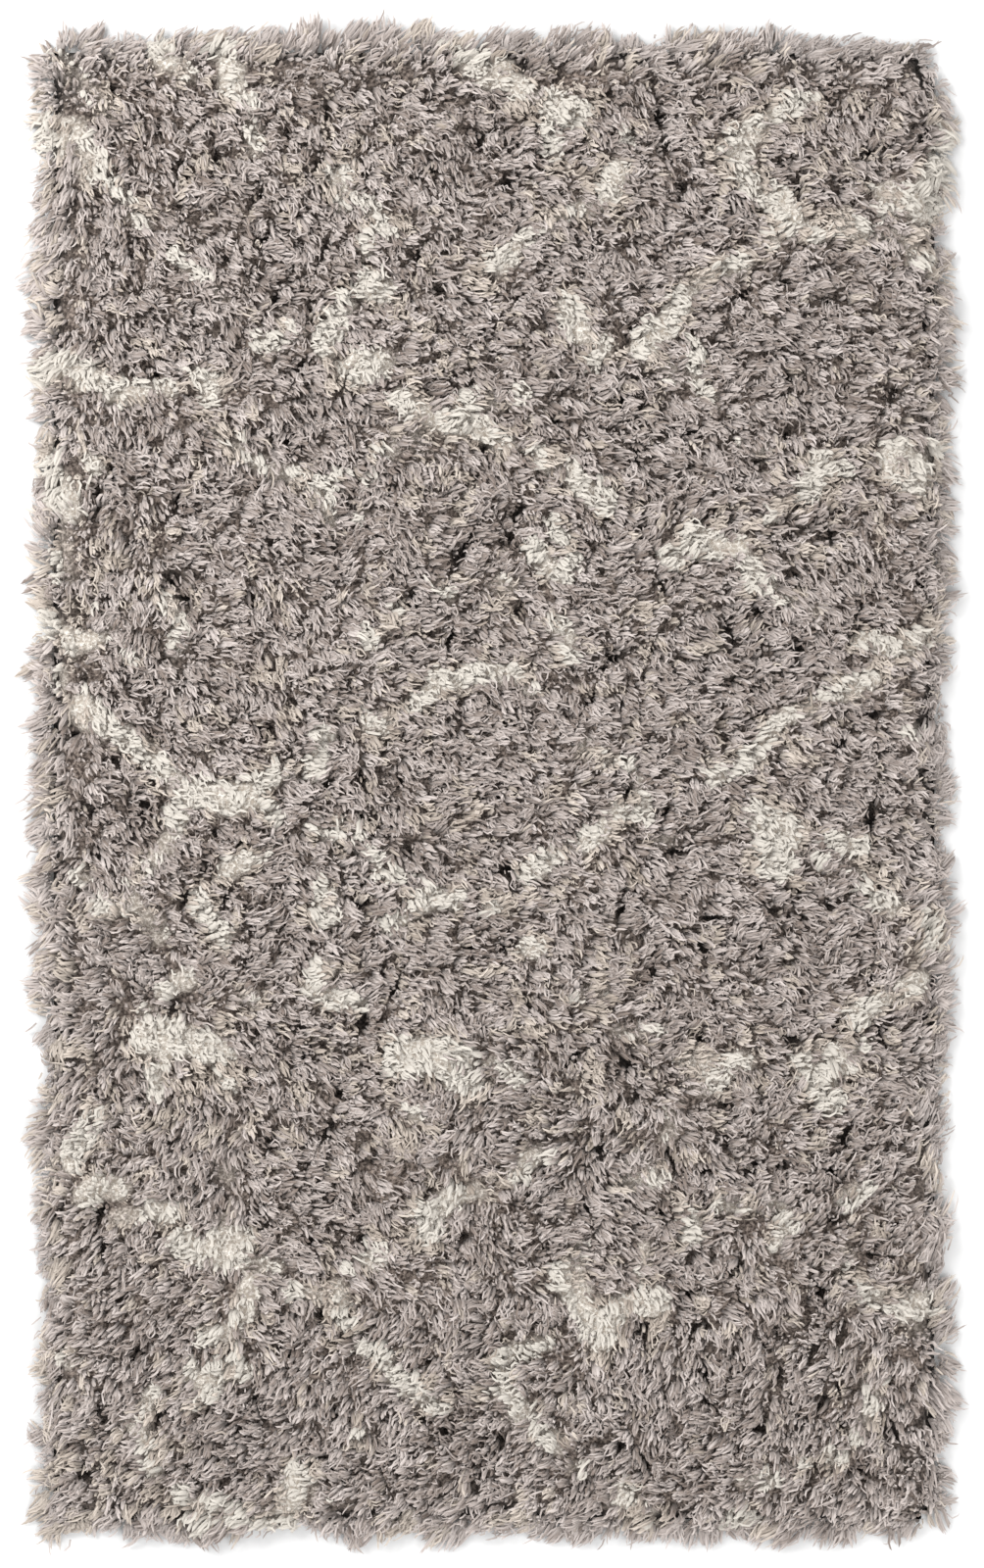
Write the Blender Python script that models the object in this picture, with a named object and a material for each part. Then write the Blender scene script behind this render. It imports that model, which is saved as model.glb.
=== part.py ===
"""A shag rug, lying flat: one piece of deep cut pile on a woven ground.

The pile is one lumpy slab. The tufts of its outermost rows fall outwards as separate locks, which are
fused to the slab only at their roots. Metres, +Z up, +Y along the rug, with the origin on the floor
under the middle of its bounding box.
"""

import math
import random
from collections import namedtuple

import bmesh
import bpy
import numpy as np
from mathutils import Vector, noise

# The woven ground is 3 ft by 5 ft. The pile stands on it and spreads past it on every side.
GROUND_WIDTH = 0.914
GROUND_LENGTH = 1.524
PILE_HEIGHT = 0.038  # from the floor to the pile's mean crown

# The slab's surface
GRID_PITCH = 0.029  # between the points of its crown
SHOULDER_STEPS = (0.0, 0.009, 0.028)  # rows of points in from the edge, where it rounds over
SHOULDER_WIDTH = 0.036
EDGE_HEIGHT = 0.009  # where the crown turns under
UNDERCUT = 0.008  # how far the flat underside lies in from the edge
TUFT_CLUMP = 0.052  # width of a lump, which is a clump of tufts leaning together
LUMP_HEIGHT = 0.020
MEAN_DISTANCE = 0.5  # from a place to the nearest clump's middle, in clump widths
DRIFT_LENGTH = 0.21  # slower unevenness, where the pile was brushed one way or the other
DRIFT_HEIGHT = 0.006
WANDER = 0.012  # how far a point strays sideways from its grid place
LEAST_RADIUS = 0.006  # round a corner of the slab

# The locks
LOCK_PITCH = 0.0222  # along the rim
LOCK_SHOW = 0.021  # from the slab's edge to an average tip
LOCK_ROOT = 0.009  # sunk into the slab
LEAN_SPREAD = 10  # degrees either way, from one lock to the next
RIM_STEPS = 400  # points along each side from which the rim's length is measured
TANGENT_STEPS = 8  # points either way from which its direction is taken
SEED = 11

# How far the average tip reaches past the ground weave along each side. The place runs along the
# side from its middle. Both are in millimetres.
Reach = namedtuple("Reach", "place past")
REACHES = {
    "left": [
        Reach(-740, 26), Reach(-700, 26), Reach(-650, 17), Reach(-550, 15), Reach(-460, 20),
        Reach(-360, 21), Reach(-310, 12), Reach(-255, 12), Reach(-200, 24), Reach(0, 25),
        Reach(100, 19), Reach(250, 27), Reach(350, 19), Reach(450, 24), Reach(530, 27),
        Reach(600, 23), Reach(650, 19), Reach(700, 27), Reach(750, 25),
    ],
    "right": [
        Reach(-700, 21), Reach(-650, 21), Reach(-610, 32), Reach(-570, 25), Reach(-500, 19),
        Reach(-400, 21), Reach(-330, 13), Reach(-280, 15), Reach(-220, 28), Reach(-160, 20),
        Reach(-110, 28), Reach(-60, 13), Reach(0, 18), Reach(80, 15), Reach(150, 22),
        Reach(240, 26), Reach(370, 22), Reach(460, 30), Reach(550, 25), Reach(600, 15),
        Reach(650, 21), Reach(700, 28),
    ],
    "top": [
        Reach(-450, 14), Reach(-370, 22), Reach(-290, 29), Reach(-250, 22), Reach(-185, 30),
        Reach(-125, 31), Reach(-85, 26), Reach(0, 21), Reach(40, 15), Reach(80, 33),
        Reach(120, 22), Reach(160, 14), Reach(260, 29), Reach(320, 14), Reach(380, 19),
        Reach(440, 13),
    ],
    "bottom": [
        Reach(-450, 12), Reach(-370, 26), Reach(-310, 21), Reach(-250, 30), Reach(-190, 17),
        Reach(-125, 22), Reach(0, 18), Reach(60, 20), Reach(130, 27), Reach(170, 22),
        Reach(225, 26), Reach(280, 23), Reach(360, 24), Reach(440, 19),
    ],
}

# The radius that the tips make round each corner, by its two sides, in millimetres
CORNER_RADII = {
    ("left", "top"): 30,
    ("right", "top"): 58,
    ("left", "bottom"): 38,
    ("right", "bottom"): 46,
}

# How the locks of each side lean away from straight out, in degrees anticlockwise
LEANS = {"left": 24, "right": -14, "top": -20, "bottom": 12}

# A lock's run from its root in the slab to its tip. Each row is one section: how far past the slab's
# edge as a share of the lock's show, its lowest height as a share of the lock's rise, its width and
# its thickness. Lengths are in metres.
Section = namedtuple("Section", "out rise width thick")
LYING_LOCK = [  # falls to the floor and rests level on it
    Section(0.0, 1.0, 0.0140, 0.0120),
    Section(0.36, 0.0, 0.0155, 0.0110),
    Section(0.78, 0.0, 0.0120, 0.0070),
    Section(1.0, 0.0, 0.0, 0.0),
]
STANDING_LOCK = [  # stands out above the lying ones
    Section(0.0, 1.0, 0.0145, 0.0120),
    Section(0.42, 0.84, 0.0145, 0.0105),
    Section(0.80, 0.56, 0.0105, 0.0070),
    Section(1.0, 0.42, 0.0, 0.0),
]
LYING_RISE = 0.010
STANDING_RISE = 0.020
LYING_SPREAD = (0.88, 1.42)  # the shortest and longest show, as shares of LOCK_SHOW
STANDING_SPREAD = (0.75, 1.15)
RISE_SPREAD = (0.9, 1.1)


def reach(side, place):
    """How far the tips reach past the ground weave, in metres, at a place along one side."""
    rows = REACHES[side]
    past = np.interp(place * 1000, [row.place for row in rows], [row.past for row in rows])
    return float(past) / 1000


def plan(u, v, inset):
    """The place seen from above of a point of the square |u|, |v| <= 1, inset from the tips."""
    side_x = "right" if u > 0 else "left"
    side_y = "top" if v > 0 else "bottom"
    half_x = GROUND_WIDTH / 2 + reach(side_x, v * GROUND_LENGTH / 2) - inset
    half_y = GROUND_LENGTH / 2 + reach(side_y, u * GROUND_WIDTH / 2) - inset
    radius = max(CORNER_RADII[side_x, side_y] / 1000 - inset, LEAST_RADIUS)
    straight_x = half_x - radius
    straight_y = half_y - radius
    into_x = max(abs(u) * half_x - straight_x, 0) / radius
    into_y = max(abs(v) * half_y - straight_y, 0) / radius
    # Inside the corner's square the points are drawn in to a quarter disc.
    x = abs(u) * half_x - radius * into_x * (1 - math.sqrt(1 - into_y**2 / 2))
    y = abs(v) * half_y - radius * into_y * (1 - math.sqrt(1 - into_x**2 / 2))
    return math.copysign(x, u), math.copysign(y, v)


def grid_steps(half):
    """Places from -1 to 1 across a half width: an even pitch, and closer rows at the shoulders."""
    inner = 1 - SHOULDER_STEPS[-1] / half
    middle = np.linspace(-inner, inner, round(2 * inner * half / GRID_PITCH) + 1)
    shoulder = [1 - step / half for step in SHOULDER_STEPS[:-1]]
    return [-step for step in shoulder] + list(middle) + shoulder[::-1]


def shoulder(share, half):
    """The height of the rounded edge, from 0 at the edge to 1 where the crown begins."""
    inward = min((1 - abs(share)) * half / SHOULDER_WIDTH, 1)
    return math.sqrt(1 - (1 - inward) ** 2)


def stray(x, y, layer):
    """How far a point of the crown strays sideways along one axis."""
    return WANDER * noise.noise(Vector((x / GRID_PITCH, y / GRID_PITCH, layer)))


def crown(x, y):
    """The height of the pile over a place: clumps of tufts, on slow drifts of the brushed pile."""
    clump_middle = noise.voronoi(Vector((x, y, 0)) / TUFT_CLUMP)[0][0]
    clump = MEAN_DISTANCE - clump_middle
    drift = noise.noise(Vector((x, y, 0)) / DRIFT_LENGTH)
    return PILE_HEIGHT + LUMP_HEIGHT * clump + DRIFT_HEIGHT * drift


def pile_slab():
    """The slab: a grid whose edge is drawn down and under to one flat face on the floor."""
    half_x = GROUND_WIDTH / 2
    half_y = GROUND_LENGTH / 2
    steps_u = grid_steps(half_x)
    steps_v = grid_steps(half_y)
    bm = bmesh.new()
    bmesh.ops.create_grid(bm, x_segments=len(steps_u) - 1, y_segments=len(steps_v) - 1, size=1)
    for vert in bm.verts:
        column = round((vert.co.x + 1) / 2 * (len(steps_u) - 1))
        row = round((vert.co.y + 1) / 2 * (len(steps_v) - 1))
        vert.co = steps_u[column], steps_v[row], 1
    rim = [edge for edge in bm.edges if edge.is_boundary]
    foot = bmesh.ops.extrude_edge_only(bm, edges=rim)["geom"]
    foot_edges = [item for item in foot if isinstance(item, bmesh.types.BMEdge) and item.is_boundary]
    for item in foot:
        if isinstance(item, bmesh.types.BMVert):
            item.co.z = 0
    bmesh.ops.edgeloop_fill(bm, edges=foot_edges)
    for vert in bm.verts:
        u, v, is_crown = vert.co
        if is_crown:
            x, y = plan(u, v, LOCK_SHOW)
            rounding = shoulder(u, half_x) * shoulder(v, half_y)
            x += rounding * stray(x, y, 0.5)
            y += rounding * stray(x, y, 9.5)
            vert.co = x, y, EDGE_HEIGHT + (crown(x, y) - EDGE_HEIGHT) * rounding
        else:
            vert.co = *plan(u, v, LOCK_SHOW + UNDERCUT), 0
    bmesh.ops.recalc_face_normals(bm, faces=bm.faces)
    return bm


def rim_stations():
    """Where the locks leave the slab: a place, the way out and the side, at an even pitch."""
    around = []
    fine = np.linspace(-1, 1, RIM_STEPS)
    around += [(u, -1.0, "bottom") for u in fine[:-1]]
    around += [(1.0, v, "right") for v in fine[:-1]]
    around += [(-u, 1.0, "top") for u in fine[:-1]]
    around += [(-1.0, -v, "left") for v in fine[:-1]]
    places = [Vector(plan(u, v, LOCK_SHOW)) for u, v, side in around]
    walked = 0.0
    stations = []
    for i, place in enumerate(places):
        if walked >= LOCK_PITCH:
            walked -= LOCK_PITCH
            along = places[(i + TANGENT_STEPS) % len(places)] - places[i - TANGENT_STEPS]
            stations.append((place, Vector((along.y, -along.x)).normalized(), around[i][2]))
        walked += (places[(i + 1) % len(places)] - place).length
    return stations


def add_lock(bm, place, out, sections, rise, show):
    """One three-sided tapered lock with a flat underside, from its root in the slab to its tip."""
    across = Vector((-out.y, out.x))
    rings = []
    root = sections[0]._replace(out=-LOCK_ROOT / show)
    for section in (root, *sections[1:]):
        middle = place + out * show * section.out
        low = rise * section.rise
        if section.width:
            left = middle + across * section.width / 2
            right = middle - across * section.width / 2
            corners = ((*left, low), (*middle, low + section.thick), (*right, low))
            rings.append([bm.verts.new(corner) for corner in corners])
        else:
            rings.append([bm.verts.new((*middle, low))])
    bm.faces.new(rings[0])
    for inner, outer in zip(rings, rings[1:]):
        for i in range(3):
            pair = [inner[i], inner[(i + 1) % 3]]
            if len(outer) == 3:
                bm.faces.new([*pair, outer[(i + 1) % 3], outer[i]])
            else:
                bm.faces.new([*pair, outer[0]])


def rim_locks():
    """All the locks, lying and standing ones by turns."""
    rng = random.Random(SEED)
    bm = bmesh.new()
    for i, (place, out, side) in enumerate(rim_stations()):
        lean = math.radians(LEANS[side] + rng.uniform(-LEAN_SPREAD, LEAN_SPREAD))
        out = Vector((out.x * math.cos(lean) - out.y * math.sin(lean),
                      out.x * math.sin(lean) + out.y * math.cos(lean)))
        if i % 2:
            show = LOCK_SHOW * rng.uniform(*STANDING_SPREAD)
            add_lock(bm, place, out, STANDING_LOCK, STANDING_RISE * rng.uniform(*RISE_SPREAD), show)
        else:
            show = LOCK_SHOW * rng.uniform(*LYING_SPREAD)
            add_lock(bm, place, out, LYING_LOCK, LYING_RISE, show)
    bmesh.ops.recalc_face_normals(bm, faces=bm.faces)
    return bm


def pile_material():
    """Matt mauve-grey acrylic and wool yarn."""
    material = bpy.data.materials.new("grey_pile")
    material.use_nodes = True
    shader = material.node_tree.nodes["Principled BSDF"]
    shader.inputs["Base Color"].default_value = (0.33, 0.28, 0.26, 1)
    shader.inputs["Roughness"].default_value = 0.95
    return material


def object_from(name, bm, shift, collection):
    """A bmesh as an object of a collection, moved over the floor.

    A twisted four-cornered face is no plane, so the faces are split into triangles before the union.
    """
    bmesh.ops.triangulate(bm, faces=[face for face in bm.faces if len(face.verts) == 4])
    bmesh.ops.translate(bm, verts=bm.verts, vec=shift)
    mesh = bpy.data.meshes.new(name)
    bm.to_mesh(mesh)
    bm.free()
    thing = bpy.data.objects.new(name, mesh)
    collection.objects.link(thing)
    return thing


def centring(*shapes):
    """The move that brings the middle of the shapes' common box over the origin."""
    points = np.array([vert.co.xy for bm in shapes for vert in bm.verts])
    middle = (points.min(axis=0) + points.max(axis=0)) / 2
    return Vector((-middle[0], -middle[1], 0))


for old in list(bpy.data.objects):
    bpy.data.objects.remove(old)
rug_collection = bpy.data.collections.new("shag rug")
stock_collection = bpy.data.collections.new("joined stock")
bpy.context.scene.collection.children.link(rug_collection)
bpy.context.scene.collection.children.link(stock_collection)

slab = pile_slab()
locks = rim_locks()
shift = centring(slab, locks)
rug = object_from("shag_rug", slab, shift, rug_collection)
rug.data.materials.append(pile_material())
stock = object_from("rim_locks", locks, shift, stock_collection)
stock.hide_render = True
stock.display_type = "WIRE"
join = rug.modifiers.new("locks fused at their roots", "BOOLEAN")
join.operation = "UNION"
join.object = stock
join.solver = "EXACT"
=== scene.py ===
# The looks of a shag rug that lies flat: its ground weave and its deep pile of cut yarn.
import math
from collections import namedtuple

import bmesh
import bpy
import numpy as np
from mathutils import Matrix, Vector
from mathutils.bvhtree import BVHTree


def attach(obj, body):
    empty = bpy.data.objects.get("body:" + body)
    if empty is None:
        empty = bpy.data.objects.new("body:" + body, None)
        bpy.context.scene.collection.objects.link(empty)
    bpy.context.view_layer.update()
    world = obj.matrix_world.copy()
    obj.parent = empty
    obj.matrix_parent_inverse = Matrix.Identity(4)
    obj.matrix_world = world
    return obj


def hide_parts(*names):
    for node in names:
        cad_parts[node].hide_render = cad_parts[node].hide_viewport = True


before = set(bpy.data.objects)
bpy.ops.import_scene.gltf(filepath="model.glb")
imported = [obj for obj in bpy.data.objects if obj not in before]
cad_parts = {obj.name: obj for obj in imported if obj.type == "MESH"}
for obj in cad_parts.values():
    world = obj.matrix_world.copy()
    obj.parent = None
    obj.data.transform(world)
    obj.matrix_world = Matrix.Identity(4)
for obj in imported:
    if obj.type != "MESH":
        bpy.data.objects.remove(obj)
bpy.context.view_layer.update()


# ---------------------------------------------------------------------------
# Ground weave. The cloth that carries the pile: a plain weave of jute and cotton
# yarn, 3 ft by 5 ft, stiffened with size on its underside. It is made flat on a
# wide loom, and the pile hides it from above.
# ---------------------------------------------------------------------------

GROUND_SIZE = (0.914, 1.524)
GROUND_MIDDLE = (-0.0021, -0.0031)  # the pile reaches further on some sides, so it isn't at zero
GROUND_THICK = 0.0024
GROUND_CORNERS = {("left", "top"): 0.010, ("right", "top"): 0.036,  # their radii
                  ("left", "bottom"): 0.010, ("right", "bottom"): 0.025}
CUT_STRAY = 0.0012  # how unevenly its edge is cut
THREAD_PITCH = 0.0032  # between jute threads
SLUB_LENGTH = 0.012  # of the thick places in a thread


def linear(hex_colour):
    """An sRGB hex colour as linear red, green, blue and alpha."""
    channels = [int(hex_colour[i:i + 2], 16) / 255 for i in (1, 3, 5)]
    return [c / 12.92 if c <= 0.04045 else ((c + 0.055) / 1.055) ** 2.4 for c in channels] + [1]


def add_node(tree, kind, inputs=None, **settings):
    """A node with its settings. Each input is a value, or the output socket that feeds it."""
    node = tree.nodes.new(kind)
    for name, value in settings.items():
        setattr(node, name, value)
    for socket, value in (inputs or {}).items():
        if isinstance(value, bpy.types.NodeSocket):
            tree.links.new(value, node.inputs[socket])
        else:
            node.inputs[socket].default_value = value
    return node


def new_material(name):
    """An empty material with a Principled shader, as its tree and the shader."""
    material = bpy.data.materials.new(name)
    material.use_nodes = True
    tree = material.node_tree
    return material, tree, tree.nodes["Principled BSDF"]


def sized_jute_weave():
    """Plain woven jute, stiffened with starch: dull, warm and even, each thread a small round ridge."""
    material, tree, shader = new_material("sized_jute_weave")
    place = add_node(tree, "ShaderNodeTexCoord").outputs["Object"]
    across = add_node(tree, "ShaderNodeSeparateXYZ", {0: place})
    turns = math.pi / THREAD_PITCH
    warp = add_node(tree, "ShaderNodeMath", {0: across.outputs["X"], 1: turns}, operation="MULTIPLY")
    weft = add_node(tree, "ShaderNodeMath", {0: across.outputs["Y"], 1: turns}, operation="MULTIPLY")
    warp_wave = add_node(tree, "ShaderNodeMath", {0: warp.outputs[0]}, operation="SINE")
    weft_wave = add_node(tree, "ShaderNodeMath", {0: weft.outputs[0]}, operation="SINE")
    over_under = add_node(
        tree, "ShaderNodeMath", {0: warp_wave.outputs[0], 1: weft_wave.outputs[0]}, operation="MULTIPLY")
    slub = add_node(tree, "ShaderNodeTexNoise", {"Vector": place, "Scale": 1 / SLUB_LENGTH, "Detail": 4})
    ridge = add_node(tree, "ShaderNodeMath", {0: over_under.outputs[0], 1: slub.outputs["Fac"]})
    colour = add_node(
        tree, "ShaderNodeMix", {0: ridge.outputs[0], 6: linear("#8C7A62"), 7: linear("#C2AE8E")},
        data_type="RGBA")
    bump = add_node(
        tree, "ShaderNodeBump", {"Height": ridge.outputs[0], "Strength": 0.6, "Distance": 0.0008})
    tree.links.new(colour.outputs[2], shader.inputs["Base Color"])
    tree.links.new(bump.outputs["Normal"], shader.inputs["Normal"])
    shader.inputs["Roughness"].default_value = 0.9
    return material


def ground_weave():
    """The flat cloth with its slightly uneven cut edge."""
    bm = bmesh.new()
    bmesh.ops.create_grid(bm, x_segments=36, y_segments=60, size=0.5)
    rng = np.random.default_rng(3)
    for vert in bm.verts:
        x, y = vert.co.x * GROUND_SIZE[0], vert.co.y * GROUND_SIZE[1]
        side_x, side_y = ("right" if x > 0 else "left"), ("top" if y > 0 else "bottom")
        radius = GROUND_CORNERS[side_x, side_y]
        past_x = max(abs(x) - GROUND_SIZE[0] / 2 + radius, 0)
        past_y = max(abs(y) - GROUND_SIZE[1] / 2 + radius, 0)
        if past_x and past_y:
            pull = radius / math.hypot(past_x, past_y)
            if pull < 1:
                x -= math.copysign(past_x * (1 - pull), x)
                y -= math.copysign(past_y * (1 - pull), y)
        if vert.is_boundary:
            x += rng.uniform(-CUT_STRAY, CUT_STRAY)
            y += rng.uniform(-CUT_STRAY, CUT_STRAY)
        vert.co = x + GROUND_MIDDLE[0], y + GROUND_MIDDLE[1], 0
    mesh = bpy.data.meshes.new("ground_weave")
    bm.to_mesh(mesh)
    bm.free()
    cloth = bpy.data.objects.new("ground_weave", mesh)
    bpy.context.scene.collection.objects.link(cloth)
    thickness = cloth.modifiers.new("cloth", "SOLIDIFY")
    thickness.thickness = GROUND_THICK
    thickness.offset = 1
    cloth.data.materials.append(sized_jute_weave())
    return cloth


ground = ground_weave()
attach(ground, "root")
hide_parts("shag_rug")


# ---------------------------------------------------------------------------
# Packed roots. The lower half of the pile, where its tufts of soft acrylic and
# wool yarn stand so close that they have matted. It is one low mound that lies on
# the ground weave, and shows only where the pile has opened. Its colour is painted
# shade: far darker than the yarn's own, and darker the deeper it lies.
# ---------------------------------------------------------------------------

MOUND_GRID = (136, 227)  # columns and rows of its mesh, about 7 mm apart
MOUND_MARGIN = 0.003  # how much wider than the weave it is
MOUND_CORNERS = 0.992  # scale at which its points are held against the weave's corners, to cover them
MOUND_DEPTH = (0.010, 0.015)  # from the pile's crown down to it
MOUND_PARTED = 0.017  # how much deeper it lies in a parting
MOUND_CREAM = 0.009  # how much higher it lies under the cream yarn, which is spun loftier
MOUND_LEAST = 0.006  # its height in the deepest parting
MOUND_EDGE = 0.012  # width over which it comes down to the weave
LINT_SIZE = 0.0035  # of the flecks of lint in it
STRAND_SPREAD = {"left": 0.005, "right": 0.0145,  # of loose strands past a tuft's tip at the rim
                 "bottom": 0.018, "top": 0.0145}
REACH_ENDS = 0.80  # the rim's reach is read from this far on one side of the middle to the other
REACH_STEP = 0.012  # between the places where it is read
REACH_WINDOW = 0.016  # and how far either side of each
REACH_MORE = 0.8  # added to its ups and downs, as tufts that spread sideways level them again
CORNER_TURN = 0.016  # width over which the way out turns from one side of the rug to the next
PER_METRE = 100  # centimetres, which the charts below are in
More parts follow.
